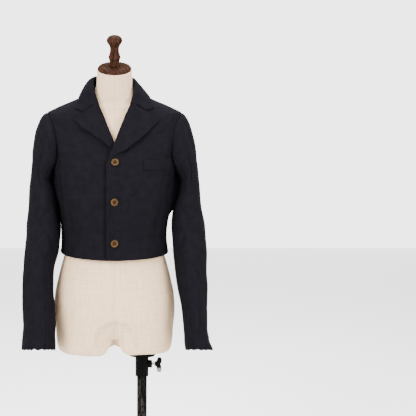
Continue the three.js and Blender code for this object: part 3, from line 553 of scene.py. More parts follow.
def body_panel(side, facing):
    """A front or back panel's two faces, and its grain: place across, place up and distance to a seam."""
    angle, height, arc = body_grid(side, facing)
    base = section_point(JACKET, angle, height)
    normal = jacket_normal(angle, height)
    lap = lap_offset(side, base[..., 0] * side, height) if facing == "front" else 0.0
    seams = nearest(base, np.concatenate([base[:, -1], through(base[:, -1], len(base) * 3)]))
    inner_edge = line_distance(base, base[:, 0], len(base) * 3)
    if facing == "back":
        seams = np.minimum(seams, inner_edge)
    over_underarm = ease(1008, 1030, height)
    relief = seam_relief(seams, height, seed=int(10 + side)) * (1 - 0.55 * over_underarm)
    hem = line_distance(base, base[0], 300)
    relief = relief + edge_relief(hem) + 0.45 * (1 - ease(*HEM_FOLD, hem + 0.6 * ripple(5, 40, arc)))
    if facing == "front":
        relief = relief + edge_relief(inner_edge) + 0.35 * (1 - ease(*FACING_FOLD, inner_edge))
        if side > 0:
            stand = FRONT_STAND + FRONT_STAND_WAVE * ripple(15, 70, height)
            relief = relief + stand * (1 - ease(*FRONT_STAND_REACH, inner_edge))
        else:
            trough = bell(base[..., 0] + LAP_TROUGH_PLACE, LAP_TROUGH_WIDTH)
            relief = relief - LAP_TROUGH * trough * (1 - ease(1030, 1050, height))
    hem_wave = HEM_WAVE * ripple(7, 85, angle * BODY_RADIUS) * (1 - ease(0, 70, hem))
    depth = body_depth(angle, height) + lap + relief + hem_wave
    outer = base + normal * depth[..., None]
    wall = CLOTH + HEM_WALL * (1 - ease(18, 24, hem))
    inner = outer - normal * wall[..., None]
    grain = np.stack([arc * side, height, seams + over_underarm], -1)
    return outer, inner, grain


def sleeve_ring(side, turn, height):
    row = SLEEVE_RINGS.row(height)
    hand = HANDS[side]
    around = turn * TURN
    outward = signed_power(np.cos(around), 2 / SLEEVE_SQUARENESS)
    forward = signed_power(np.sin(around), 2 / SLEEVE_SQUARENESS) * row["deep"]
    tilt = np.radians(row["tilt"])
    return np.stack([
        row[hand + "X"] + row[hand + "Half"] * outward,
        row["y"] - forward * np.cos(tilt),
        height + forward * np.sin(tilt) + row["lean"] * outward,
    ], -1)


def mirrored(points, side):
    return points * np.array([side, 1.0, 1.0])


def armhole_point(side, turn):
    """A point of the armhole, as if it were on the left."""
    angle, height = armhole_place(turn)
    return mirrored(jacket_point(side * angle, height), side)


def armhole_frame(side, turn):
    """The armhole's point, the cloth's normal there, and the way out of the panel across both."""
    angle, height = armhole_place(turn)
    normal = mirrored(jacket_normal(side * angle, height), side)
    along = unit(armhole_point(side, turn + 0.01) - armhole_point(side, turn - 0.01))
    return armhole_point(side, turn), normal, unit(np.cross(normal, along))


def sleeve_start(side, turn):
    """The armhole's point and the way in which the sleeve leaves it."""
    point, normal, away = armhole_frame(side, turn)
    lower = (1 - np.cos(turn * TURN)) / 2
    bend = np.radians(lerp(HEAD_LIFT[side] - 14, UNDERARM_LIFT, lower**1.5))[..., None]
    direction = away * np.cos(bend) + normal * np.sin(bend)
    return point + unit(away + direction) * 0.1, direction


def sleeve_tuck(side, turn):
    """The sleeve's hidden edge, turned in under the panels: its two faces."""
    point, normal, away = armhole_frame(side, turn)
    outer = point - away * TUCK_WIDTH - normal * TUCK_DEPTH
    return outer, outer - normal * CLOTH


def smooth_sleeve(side, turn, reach):
    """reach runs from 0 at the armhole through 1 at the underarm to 2 at the cuff."""
    turn, reach = np.broadcast_arrays(np.asarray(turn, float), np.asarray(reach, float))
    tube = sleeve_ring(side, turn, lerp(SLEEVE_TOP, CUFF, np.maximum(reach, 1) - 1))
    start, direction = sleeve_start(side, turn)
    top = np.full_like(turn, SLEEVE_TOP)
    ring = sleeve_ring(side, turn, top)
    down = unit(sleeve_ring(side, turn, top - 15) - ring)
    pull = 0.65 * np.linalg.norm(ring - start, axis=-1, keepdims=True)
    t = np.clip(reach, 0, 1)[..., None]
    rise = smoothed(t)
    cap = start * (1 - rise) + ring * rise + direction * pull * t * (1 - t) ** 2 - down * pull * t * t * (1 - t)
    return np.where(reach[..., None] >= 1, tube, cap)


def sleeve_normal(side, turn, reach):
    inside = np.clip(reach, 0.02, 1.99)
    return surface_normal(lambda u, v: smooth_sleeve(side, u, v), turn, inside, 0.01, 0.01)


def sleeve_height(reach):
    return np.where(reach < 1, lerp(SHOULDER, SLEEVE_TOP, reach), lerp(SLEEVE_TOP, CUFF, reach - 1))


def sleeve_depth(side, turn, reach):
    strength = bpy.context.scene.jacket_sizes.crease_strength
    around, height = turn * TURN, sleeve_height(reach)
    smooth = fold_depth(SLEEVE_FOLDS, SLEEVE_RADIUS, around, height)
    fine = crease_depth(SLEEVE_CREASES[side], SLEEVE_RADIUS, around, height)
    rumple = 0.45 * ripple(21 + side, 48, around * SLEEVE_RADIUS, height * 0.7)
    return (smooth + strength * (fine + rumple)) * ease(0, 0.5, reach)


def sleeve_point(side, turn, reach, out=0.0):
    depth = sleeve_depth(side, turn, reach) + out
    base = smooth_sleeve(side, turn, reach)
    return mirrored(base + sleeve_normal(side, turn, reach) * depth[..., None], side)


def sleeve_panel(side, first, last):
    width = (last - first) * TURN * SLEEVE_RADIUS / SLEEVE_TURNS
    turn = (first + (last - first) * packed(width, 3.0) / width) / SLEEVE_TURNS
    cap = packed(CAP_LENGTH, 4.2, last=(0.0,)) / CAP_LENGTH
    tube = packed(SLEEVE_TOP - CUFF, 3.2, first=(0.0,)) / (SLEEVE_TOP - CUFF)
    turn, reach = np.meshgrid(turn, np.concatenate([cap, 1 + tube[1:]]))
    base = smooth_sleeve(side, turn, reach)
    normal = sleeve_normal(side, turn, reach)
    armhole = line_distance(base, base[0], 400)
    sides = np.minimum(line_distance(base, base[:, 0], 700), line_distance(base, base[:, -1], 700))
    seams = np.minimum(armhole + 1.2, sides + 0.4)
    cuff = line_distance(base, base[-1], 300)
    height = sleeve_height(reach)
    arc = turn * TURN * SLEEVE_RADIUS
    on_top = ease(0.35, 0.6, np.cos(turn * TURN))
    relief = 0.55 * seam_relief(sides, height, seed=30 + first)
    head = 0.8 * ripple(41, 13, turn * 380) * bell(armhole - 7, 6) * on_top
    relief = relief + 0.5 * seam_relief(armhole, turn * ARMHOLE_LENGTH, seed=50) + head + edge_relief(cuff)
    relief = relief + 0.4 * (1 - ease(*CUFF_FOLD, cuff + ripple(8, 50, turn * ARMHOLE_LENGTH)))
    wave = CUFF_WAVE * ripple(60 + side, 60, arc) * (1 - ease(0, 45, cuff))
    uneven = CUFF_UNEVEN * ripple(65 + side, 17, arc) * (1 - ease(0, 16, cuff))
    base = base + np.array([0, 0, 1.0]) * uneven[..., None]
    depth = sleeve_depth(side, turn, reach) + relief + wave
    tuck_out, tuck_in = sleeve_tuck(side, turn[0])
    outer = mirrored(np.concatenate([tuck_out[None], base + normal * depth[..., None]]), side)
    inner = mirrored(np.concatenate([tuck_in[None], base + normal * (depth - CLOTH)[..., None]]), side)
    grain = np.stack([arc * side, height, seams], -1)
    return outer, inner, np.concatenate([grain[:1], grain])


# ---------------------------------------------------------------- surfaces of the lapels, collar and welt


def front_place(x, z):
    """The angle and height of the body's point that is seen at x and z from the front."""
    height = np.array(z, float)
    for _ in range(4):
        across = angle_at(JACKET, x, np.minimum(height, NECKLINE))
        height = height + z - section_point(JACKET, across, height)[..., 2]
    return angle_at(JACKET, x, height), height


def over_front(side, x, z, out):
    """A point over a front panel, from its place in a front view and its height over the cloth."""
    x, z, out = np.broadcast_arrays(*(np.asarray(v, float) for v in (x, z, out)))
    angle, height = front_place(x, z)
    return jacket_point(side * angle, height, lap_offset(side, x, height) + out)


# A lapel's turn-back: how far out and how high its points lie, where it is soft and where it is pressed.
ROLL_PROFILE = np.array([
    [-0.35, -2, -0.9, -2],
    [-1.9, 0.4, -2.5, -1.6],
    [-2.8, 3, -3.4, -0.3],
    [-1.9, 6.2, -3.2, 1.4],
    [1, 8, -1.7, 2.6],
    [5, 7.6, 1.2, 2.6],
])
FAR_FROM_SEAM = 30
EDGE_CLEARANCE = 3.6
PRESSED_HEIGHT = 2.6
LAPEL_EDGES = Table("share leftX leftZ rightX rightZ", [
    [0, -5, 1052, 1, 1071],
    [0.25, 22, 1069, 20, 1091],
    [0.5, 57, 1095, 50, 1110],
    [0.75, 89, 1122, 82, 1131],
    [1, 123, 1152, 114, 1154],
])
# Where along a lapel its edge lifts, how widely and how far.
LAPEL_LIFTS = {
    1: ((0.62, 0.24, 11.0), (0.3, 0.12, 9.0)),
    -1: ((0.74, 0.13, 12.5), (0.22, 0.15, 13.5), (0.48, 0.08, 7.0)),
}
LAPEL_START = {1: 1050.0, -1: 1066.0}
GORGE_GAP = -2.5


def behind(grid, turn, feet):
    """The inner faces of a grid, a wall's thickness behind it. The first column is given."""
    inner = grid + grid_normal(grid) * turn * CLOTH
    inner[:, 0] = feet
    return inner


def lapel_panel(side):
    hand = HANDS[side]
    share = packed(1.0, 0.02, first=(0.0, 0.006, 0.014), last=(0.0, 0.006, 0.014, 0.024))[:, None]
    roll_z = lerp(LAPEL_START[side], GORGE - GORGE_GAP, share)
    roll_x = ROLL_LINE.at("x", roll_z)
    edge_x = LAPEL_EDGES.at(hand + "X", share)
    edge_z = LAPEL_EDGES.at(hand + "Z", share)
    width = np.hypot(edge_x - roll_x, edge_z - roll_z)
    soft = ease(-0.1, 0.3, share) if side > 0 else ease(0.1, 0.55, share)
    distance = lerp(ROLL_PROFILE[:, 2], ROLL_PROFILE[:, 0], soft)
    lift = lerp(ROLL_PROFILE[:, 3], ROLL_PROFILE[:, 1], soft)

    def put(reach, out):
        t = reach / width
        return over_front(side, lerp(roll_x, edge_x, t), lerp(roll_z, edge_z, t), out)

    rolled = through(put(distance, lift), 18)
    t = np.linspace(0, 1, 42)[1:]
    t = 1 - (1 - t) ** 1.25
    edge_height = lerp(PRESSED_HEIGHT, EDGE_CLEARANCE, soft)
    leaf = put(lerp(distance[:, -1:], width, t), lerp(lift[:, -1:], edge_height, t))
    away = sum(height * bell(share - place, spread) for place, spread, height in LAPEL_LIFTS[side])
    leaf = leaf + np.array([0, -1.0, -0.25]) * (away * t**2.2)[..., None]
    belly = 1.6 * np.sin(math.pi * t) * np.sin(math.pi * np.clip(share, 0, 1)) ** 0.7 * soft
    leaf = leaf + np.array([0, -1.0, 0]) * belly[..., None]
    outer = np.concatenate([rolled, leaf], 1)
    feet = put(distance[:, :1], np.zeros_like(distance[:, :1]))[:, 0]
    edge = np.minimum(line_distance(outer, outer[:, -1], 300), line_distance(outer, outer[-1], 200))
    normal = grid_normal(outer) * -side
    wave = 0.5 * ripple(70 + side, 34, outer[..., 0], outer[..., 2]) * np.exp(-edge / 14)
    wave = wave * ease(12, 20, np.arange(outer.shape[1])) + edge_relief(edge)
    outer = outer + normal * wave[..., None]
    arc = lengths_along(outer[len(outer) // 2])
    across = np.broadcast_to(arc * side, outer.shape[:2])
    grain = np.stack([across, roll_z + 0 * arc, FAR_FROM_SEAM + 0 * edge], -1)
    return outer, behind(outer, side, feet), grain


# The fold's and the edge's places and the leaf's bulge. The last three are the right half's bulge
# and how far its fold is moved.
COLLAR_ROWS = Table("along foldX foldY foldZ edgeAngle edgeHeight bulge rightBulge rightX rightZ", [
    [0, 0, 50, 1277, 180, 1215, 3, 3, 0, 0],
    [0.2, 31, 44, 1276, 150, 1214, 3, 5, 1, 1],
    [0.38, 49.5, 26, 1272, 122, 1212, 3, 12, 3, 3],
    [0.5, 55, 5, 1267, 98, 1214, 2, 19, 5, 4],
    [0.64, 57, -15, 1251, 75, 1211, 2, 18, 4, 3],
    [0.78, 56, -34, 1232, 58, 1204, 1, 9, 2, 1],
    [0.9, 52, -44, 1214, 47, 1197, 1, 2, 0, 0],
    [1, 46, -50, 1199, 39.5, 1189, 0, 0, 0, 0],
])
COLLAR_HALF_LENGTH = 210
RIM_LEAVES = 10 / 13  # where the collar's foot leaves the neckline for the roll line
NOTCH_SHARE = 0.6  # where on the collar's end the notch's corner is
NOTCH_DROP = {1: 11.0, -1: 13.0}


def collar_rim(side, along):
    """A point on the rim that the collar's foot stands on, as a place on the body."""
    along = np.asarray(along, float)
    corner = float(angle_at(JACKET, ROLL_LINE.at("x", NECKLINE), NECKLINE))
    on_front = lerp(math.pi / 2, corner, (along - 0.5) / (RIM_LEAVES - 0.5))
    down = lerp(NECKLINE, GORGE, (along - RIM_LEAVES) / (1 - RIM_LEAVES))
    on_roll = angle_at(JACKET, ROLL_LINE.at("x", down), down)
    angle = np.where(along <= 0.5, math.pi * (1 - along), np.where(along <= RIM_LEAVES, on_front, on_roll))
    return angle, np.where(along <= RIM_LEAVES, NECKLINE, down)


def collar_half(side, along):
    """The collar's rows from the centre back (0) to the gorge (1), and the points of its foot."""
    row = COLLAR_ROWS.row(along)

    def spot(t):
        angle, height = collar_rim(side, np.clip(t, 0, 1))
        return jacket_point(side * angle, height)

    angle, height = collar_rim(side, along)
    normal = jacket_normal(side * angle, height)
    tangent = unit(spot(along + 0.02) - spot(along - 0.02))
    away = unit(np.cross(tangent, normal) * side)
    foot = spot(along) + away * 0.35
    rise = unit(lerp(np.array([0.0, 0, 1]), normal, ease(0.5, 0.95, along)[:, None]))
    fuller = side < 0
    fold_x, fold_z = row["foldX"] + row["rightX"] * fuller, row["foldZ"] + row["rightZ"] * fuller
    fold = np.stack([fold_x * side, row["foldY"], fold_z], -1)
    gorge_x = float(ROLL_LINE.at("x", GORGE))
    fold = lerp(fold, over_front(side, gorge_x + 1, GORGE, 8.0), ease(0.8, 1, along)[:, None])
    edge = jacket_point(side * np.radians(row["edgeAngle"]), row["edgeHeight"], EDGE_CLEARANCE + 1)
    outward = edge - fold
    outward = unit(outward - rise * np.sum(outward * rise, -1, keepdims=True))
    stand_top = fold - rise * 5 - outward * 3.6
    inner = foot - normal * CLOTH
    leaf_start = fold - rise * 0.6 + outward * 4
    control = lerp(leaf_start, edge, 0.5) + rise * row["bulge" if side > 0 else "rightBulge"][:, None]
    turn_in = fold - rise * 1.4 - outward * 2.6
    points = [inner, lerp(inner, stand_top, 0.55), stand_top, turn_in, fold, leaf_start]
    lying_share = ease(0.72, 1, along)[:, None]
    for t in np.arange(1, 6) / 5:
        free = lerp(lerp(leaf_start, control, t), lerp(control, edge, t), t)
        drop = NOTCH_DROP[side] * min(t / NOTCH_SHARE, (1 - t) / (1 - NOTCH_SHARE))
        x = lerp(np.abs(leaf_start[:, 0]), np.abs(edge[:, 0]), t)
        z = lerp(leaf_start[:, 2], edge[:, 2], t) - drop
        sunk = 1.3 * ease(0.94, 1, along) * (1 - ease(0.5, 0.7, t))
        lying = over_front(side, x, z, lerp(7.4, EDGE_CLEARANCE, t) - sunk)
        points.append(lerp(free, lying, lying_share))
    return np.stack(points, 1), foot


def collar_sheet():
    along = packed(1.0, 0.018, first=(0.0,), last=(0.0, 0.005, 0.012, 0.022))
    left, left_foot = collar_half(1, along)
    right, right_foot = collar_half(-1, along)
    coarse = np.concatenate([right[::-1][:-1], left])
    feet = np.concatenate([right_foot[::-1][:-1], left_foot])
    outer = through(coarse, 64)
    normal = grid_normal(outer)
    edge = np.minimum(line_distance(outer, outer[:, -1], 500), line_distance(outer, outer[0], 200))
    edge = np.minimum(edge, line_distance(outer, outer[-1], 200))
    place = np.linspace(-1, 1, len(outer))[:, None] * COLLAR_HALF_LENGTH + np.zeros(outer.shape[:2])
    leaf = ease(30, 40, np.arange(outer.shape[1]))
    wave = 0.55 * ripple(81, 42, place) * np.exp(-edge / 16) * leaf + edge_relief(edge) * leaf
    outer = outer + normal * wave[..., None]
    arc = lengths_along(outer[len(outer) // 2])
    grain = np.stack([place, np.broadcast_to(arc, place.shape), FAR_FROM_SEAM + 0 * place], -1)
    return outer, behind(outer, -1, feet), grain


WELT_WIDTH, WELT_HEIGHT = 78.0, 27.0
WELT_X, WELT_Z = (80, 157), (1030, 1032)  # of its middle line, from the inner end to the outer one
WELT_THICKNESS, WELT_GAP = 1.8, 0.9
WELT_EDGE_PLACES = (0.0, 0.6, 1.4, 2.4, 3.6)
WELT_STITCHING = 2.6  # from the edge


def welt_sheet():
    across = packed(WELT_WIDTH, 2.0, first=WELT_EDGE_PLACES) / WELT_WIDTH
    up = packed(WELT_HEIGHT, 1.6, first=WELT_EDGE_PLACES) / WELT_HEIGHT
    t, rise = np.meshgrid(across, up)
    z = lerp(*WELT_Z, t) + WELT_HEIGHT * (rise - 0.5)
    x = lerp(*WELT_X, t)
    edge = np.minimum(np.minimum(t, 1 - t) * WELT_WIDTH, np.minimum(rise, 1 - rise) * WELT_HEIGHT)
    stitched = 0.35 * bell(edge - WELT_STITCHING, 0.7)
    puff = 0.5 * np.sin(math.pi * rise) + 0.25 * ripple(91, 22, t * WELT_WIDTH, rise * WELT_HEIGHT)
    outer = over_front(1, x, z, WELT_GAP + WELT_THICKNESS + puff - stitched + edge_relief(edge))
    inner = over_front(1, x, z, WELT_GAP + 0 * edge)
    grain = np.stack([t * WELT_WIDTH, rise * WELT_HEIGHT, edge + 1.5], -1)
    return outer, inner, grain


# ---------------------------------------------------------------- meshes


def make_object(name, vertices, faces, material, grain=None, smooth=True):
    """A mesh object in metres from points in millimetres. grain is kept on its points for the weave."""
    mesh = bpy.data.meshes.new(name)
    mesh.from_pydata((np.asarray(vertices) * MM).tolist(), [], [list(map(int, f)) for f in faces])
    mesh.validate()
    mesh.update()
    if grain is not None:
        attribute = mesh.attributes.new("grain", "FLOAT_VECTOR", "POINT")
        attribute.data.foreach_set("vector", np.asarray(grain, np.float32).ravel())
    mesh.materials.append(material)
    mesh.polygons.foreach_set("use_smooth", [smooth] * len(mesh.polygons))
    piece = bpy.data.objects.new(name, mesh)
    bpy.context.scene.collection.objects.link(piece)
    return piece


def shell(outer, inner, grain, round_sides=(1, 1, 1, 1)):
    """A closed sheet from two grids.

    Its rims bulge by the shares given for the first row, last row, first column and last column.
    """
    rows, columns = outer.shape[:2]
    index = np.arange(rows * columns).reshape(rows, columns)
    count = rows * columns
    rim = np.concatenate([index[0, :-1], index[:-1, -1], index[-1, :0:-1], index[:0:-1, 0]])
    outward = np.zeros_like(outer)
    outward[0] += unit(outer[0] - outer[1]) * round_sides[0]
    outward[-1] += unit(outer[-1] - outer[-2]) * round_sides[1]
    outward[:, 0] += unit(outer[:, 0] - outer[:, 1]) * round_sides[2]
    outward[:, -1] += unit(outer[:, -1] - outer[:, -2]) * round_sides[3]
    flat_out, flat_in, flat_away = (grid.reshape(-1, 3)[rim] for grid in (outer, inner, outward))
    middle, half = (flat_out + flat_in) / 2, (flat_out - flat_in) / 2
    thickness = np.linalg.norm(half, axis=-1, keepdims=True)
    loops = [
        middle + half * math.cos(turn) + flat_away * thickness * math.sin(turn)
        for turn in (math.pi * 0.25, math.pi * 0.5, math.pi * 0.75)
    ]
    vertices = np.concatenate([outer.reshape(-1, 3), inner.reshape(-1, 3), *loops])
    flat_grain = grain.reshape(-1, 3)
    grains = np.concatenate([flat_grain, flat_grain, *[flat_grain[rim]] * 3])
    corners = (index[:-1, :-1], index[:-1, 1:], index[1:, 1:], index[1:, :-1])
    a, b, c, d = (corner.ravel() for corner in corners)
    faces = [np.stack([a, b, c, d], -1), np.stack([a, d, c, b], -1) + count]
    size = len(rim)
    order = np.arange(size)
    after = (order + 1) % size
    rings = [rim, *(2 * count + k * size + order for k in range(3)), rim + count]
    for near, far in zip(rings[:-1], rings[1:]):
        faces.append(np.stack([near[after], near, far, far[after]], -1))
    faces = np.concatenate(faces)
    first, second, third, fourth = (vertices[faces[:, k]] for k in range(4))
    volume = np.sum(first * np.cross(second, third)) + np.sum(first * np.cross(third, fourth))
    return vertices, faces if volume > 0 else faces[:, ::-1], grains


def settle(piece, node, body="form"):
    """Every piece rides on a body and stands for its node."""
    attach(piece, body)
    if node:
        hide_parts(node)
    return piece


def cloth_piece(node, sheet, round_sides=(1, 1, 1, 1)):
    """A sewn piece made from its sheet's two faces and grain, in the place of a solid."""
    vertices, faces, grains = shell(*sheet, round_sides)
    piece = make_object("cloth_" + node, vertices, faces, material("navy_wool"), grains)
    return settle(piece, node)


def lathe(profile, sides=64):
    """A closed turned solid from a profile of radius and height, with its grain."""
    profile = np.asarray(profile, float)
    turns = np.arange(sides) / sides * TURN
    middle = profile[profile[:, 0] > 1e-6]
    ring = np.stack([np.cos(turns), np.sin(turns)], -1)
    points = np.concatenate([
        np.concatenate([ring * radius, np.full((sides, 1), up)], 1) for radius, up in middle
    ] + [np.array([[0, 0, profile[0, 1]], [0, 0, profile[-1, 1]]])])
    grain = np.concatenate([
        np.stack([turns * 20, np.full(sides, up), np.full(sides, radius)], -1) for radius, up in middle
    ] + [np.array([[0, profile[0, 1], 0], [0, profile[-1, 1], 0]])])
    faces = []
    last = (len(middle) - 1) * sides
    for j in range(sides):
        k = (j + 1) % sides
        for i in range(len(middle) - 1):
            base = i * sides
            faces.append((base + j, base + k, base + sides + k, base + sides + j))
        faces.append((len(points) - 2, k, j))
        faces.append((len(points) - 1, last + j, last + k))
    return points, faces, grain


def turned_profile(spots, corner=1.2, steps=3):
    """A profile with each inner corner rounded by a short curve."""
    spots = [np.array(spot, float) for spot in spots]
    rounded = [spots[0]]
    for before, spot, after in zip(spots, spots[1:], spots[2:]):
        near = min(corner, np.linalg.norm(before - spot) * 0.45)
        far = min(corner, np.linalg.norm(after - spot) * 0.45)
        start = spot + unit(before - spot) * near
        end = spot + unit(after - spot) * far
        for t in np.linspace(0, 1, steps):
            rounded.append(lerp(lerp(start, spot, t), lerp(spot, end, t), t))
    return rounded + [spots[-1]]


def apply_boolean(piece, cutter):
    """Cuts one closed mesh out of another and keeps the result on the piece, with its grain."""
    old = piece.data
    count = len(old.vertices)
    grain = np.empty(count * 3)
    old.attributes["grain"].data.foreach_get("vector", grain)
    tree = KDTree(count)
    for vertex in old.vertices:
        tree.insert(vertex.co, vertex.index)
    tree.balance()
    modifier = piece.modifiers.new("bore", "BOOLEAN")
    modifier.operation = "DIFFERENCE"
    modifier.solver = "EXACT"
    modifier.object = cutter
    evaluated = piece.evaluated_get(bpy.context.evaluated_depsgraph_get())
    mesh = bpy.data.meshes.new_from_object(evaluated)
    piece.modifiers.clear()
    kept = [tree.find(vertex.co)[1] for vertex in mesh.vertices]
    attribute = mesh.attributes.get("grain") or mesh.attributes.new("grain", "FLOAT_VECTOR", "POINT")
    attribute.data.foreach_set("vector", grain.reshape(-1, 3)[kept].astype(np.float32).ravel())
    piece.data = mesh
    bpy.data.meshes.remove(old)
    bpy.data.objects.remove(cutter)


NO_AXIS = np.array([0.13, 0.28, 0.95])  # a direction that no cord runs in


def ring_faces(rows, sides):
    """The faces between closed rings of points."""
    faces = []
    for i in range(rows - 1):
        for j in range(sides):
            k = (j + 1) % sides
            faces.append((i * sides + j, i * sides + k, (i + 1) * sides + k, (i + 1) * sides + j))
    return faces


def tube(path, radius, sides):
    """Points and faces of a closed round cord along a path."""
    path = np.asarray(path, float)
    along = unit(np.gradient(path, axis=0))
    side = unit(np.cross(along, NO_AXIS))
    up = np.cross(side, along)
    turns = np.arange(sides) / sides * TURN
    ring = side[:, None] * np.cos(turns)[:, None] + up[:, None] * np.sin(turns)[:, None]
    points = (path[:, None] + ring * radius).reshape(-1, 3)
    faces = ring_faces(len(path), sides)
    faces.append(tuple(range(sides))[::-1])
    faces.append(tuple((len(path) - 1) * sides + j for j in range(sides)))
    return points, faces


def joined(parts):
    """Several sets of points and faces as one."""
    points, faces, total = [], [], 0
    for part_points, part_faces in parts:
        points.append(np.asarray(part_points))
        faces += [tuple(int(i) + total for i in face) for face in part_faces]
        total += len(part_points)
    return np.concatenate(points), faces


# ---------------------------------------------------------------- materials


class Wire:
    """A shader socket. Arithmetic on it adds Math nodes."""

    def __init__(self, paint, socket):
        self.paint = paint
        self.socket = socket

    def maths(self, operation, *values):
        return self.paint.node("ShaderNodeMath", {"operation": operation}, dict(enumerate(values)))

    def __add__(self, other):
        return self.maths("ADD", self, other)

    def __radd__(self, other):
        return self.maths("ADD", other, self)

    def __sub__(self, other):
        return self.maths("SUBTRACT", self, other)

    def __rsub__(self, other):
        return self.maths("SUBTRACT", other, self)

    def __mul__(self, other):
        return self.maths("MULTIPLY", self, other)

    def __rmul__(self, other):
        return self.maths("MULTIPLY", other, self)

    def __pow__(self, other):
        return self.maths("POWER", self, other)

    def sine(self):
        return self.maths("SINE", self)

    def step(self, low, high):
        """0 below low, 1 above high and smooth between them, or the other way round."""
        values = {"Value": self, "From Min": min(low, high), "From Max": max(low, high)}
        up = self.paint.node("ShaderNodeMapRange", {"interpolation_type": "SMOOTHSTEP"}, values)
        return up if low < high else 1 - up


class Paint:
    """A material built from nodes, with its constants on the shader's own sockets."""

    def __init__(self, name, constants):
        self.material = bpy.data.materials.new(name)
        self.material.use_nodes = True
        self.tree = self.material.node_tree
        self.shader = next(n for n in self.tree.nodes if n.type == "BSDF_PRINCIPLED")
        for socket, value in constants.items():
            self.shader.inputs[socket].default_value = value

    def node(self, kind, settings, values, output=0):
        """Adds a node: first its settings, then the values or wires of its sockets."""
        node = self.tree.nodes.new(kind)
        for key, value in settings.items():
            setattr(node, key, value)
        for key, value in values.items():
            self.feed(node.inputs[key], value)
        return Wire(self, node.outputs[output])

    def feed(self, socket, value):
        if isinstance(value, Wire):
            self.tree.links.new(value.socket, socket)
        else:
            socket.default_value = value

    def grain(self):
        """The cloth's own places, across, up and from the nearest seam, in millimetres."""
        vector = self.node("ShaderNodeAttribute", {"attribute_name": "grain"}, {}, "Vector")
        return [self.node("ShaderNodeSeparateXYZ", {}, {"Vector": vector}, axis) for axis in "XYZ"]

    def place(self):
        """The object's own places in metres."""
        vector = self.node("ShaderNodeTexCoord", {}, {}, "Object")
        return [self.node("ShaderNodeSeparateXYZ", {}, {"Vector": vector}, axis) for axis in "XYZ"]

    def noise(self, x, y, z=0.0, detail=3.0, roughness=0.55):
        vector = self.node("ShaderNodeCombineXYZ", {}, {"X": x, "Y": y, "Z": z})
        values = {"Vector": vector, "Scale": 1.0, "Detail": detail, "Roughness": roughness}
        return self.node("ShaderNodeTexNoise", {}, values, "Fac")

    def mix(self, factor, low, high):
        values = {0: factor, 6: low, 7: high}
        return self.node("ShaderNodeMix", {"data_type": "RGBA"}, values, 2)

    def bump(self, height, distance, strength=1.0):
        values = {"Height": height, "Distance": distance, "Strength": strength}
        self.feed(self.shader.inputs["Normal"], self.node("ShaderNodeBump", {}, values))

    def colour(self, value):
        self.feed(self.shader.inputs["Base Color"], value)

    def roughness(self, value):
        self.feed(self.shader.inputs["Roughness"], value)


def shade(colour, factor, tint=(1.0, 1.0, 1.0)):
    """A lighter or darker version of a colour."""
    return tuple(c * factor * t for c, t in zip(colour[:3], tint)) + (1.0,)


def navy_wool():
    """Matt navy wool in a fine twill, mottled, with painted shade along its seams."""
    sizes = bpy.context.scene.jacket_sizes
    navy = sizes.cloth_colour
    paint = Paint("navy_wool", {"Specular IOR Level": 0.015})
    across, up, seam = paint.grain()
    thread = TURN / sizes.twill_pitch
    twill = ((across + up * 1.15) * thread).sine() * 0.5 + 0.5
    yarn = ((across - up * 0.7) * (thread * 1.3)).sine() * 0.5 + 0.5
    fuzz = paint.noise(across * 0.9, up * 0.9, detail=4.0)
    mottle = paint.noise(across * 0.045, up * 0.045)
    slub = paint.noise(across * 0.35, up * 0.02, detail=2.0)
    weft = paint.noise(across * 0.02, up * 0.35, detail=2.0)
    tone = mottle * 0.5 + slub * 0.25 + weft * 0.25
    cloth = paint.mix(tone.step(0.3, 0.7), shade(navy, 0.78), shade(navy, 1.28, (1.0, 0.99, 0.97)))
    worn = paint.mix((fuzz * twill).step(0.3, 0.62) * 0.35, cloth, shade(navy, 1.9))
    # painted shade: the cloth is darkened along its seams, where their grooves lie in shadow
    groove = seam.step(1.2, 0.2) * 0.35
    paint.colour(paint.mix(groove, worn, shade(navy, 0.3)))
    paint.roughness(0.82 + tone * 0.16)
    paint.bump(twill * 0.35 + yarn * 0.2 + fuzz * 0.9 + mottle * 1.2, 0.00035, 0.8)
    return paint.material


def woven_linen():
    """Plain beige linen with slubs both ways and its seams pressed flat."""
    sizes = bpy.context.scene.form_sizes
    beige = sizes.linen_colour
    paint = Paint("woven_linen", {"Specular IOR Level": 0.1})
    across, up, seam = paint.grain()
    warp = paint.noise(across * 0.75, up * 0.025, detail=3.0, roughness=0.65)
    weft = paint.noise(across * 0.025, up * 0.75, detail=3.0, roughness=0.65)
    broad = paint.noise(across * 0.16, up * 0.012, 3.0, detail=2.0)
    cross = paint.noise(across * 0.012, up * 0.16, 7.0, detail=2.0)
    thread = TURN / sizes.linen_pitch
    weave = (across * thread).sine() * (up * thread).sine()
    tone = warp * 0.34 + weft * 0.26 + broad * 0.25 + cross * 0.15
    cloth = paint.mix(tone.step(0.4, 0.6), shade(beige, 0.84, (1.0, 0.985, 0.95)), shade(beige, 1.11))
    threads = paint.mix(weave.step(0.2, 0.9) * 0.35, cloth, shade(beige, 0.8))
    paint.colour(paint.mix(seam.step(1.3, 0.4) * 0.35, threads, shade(beige, 0.62)))
    paint.roughness(0.86 + weave * 0.05)
    paint.bump(weave * 0.5 + warp * 1.1 + weft * 1.1, 0.00022, 0.8)
    return paint.material


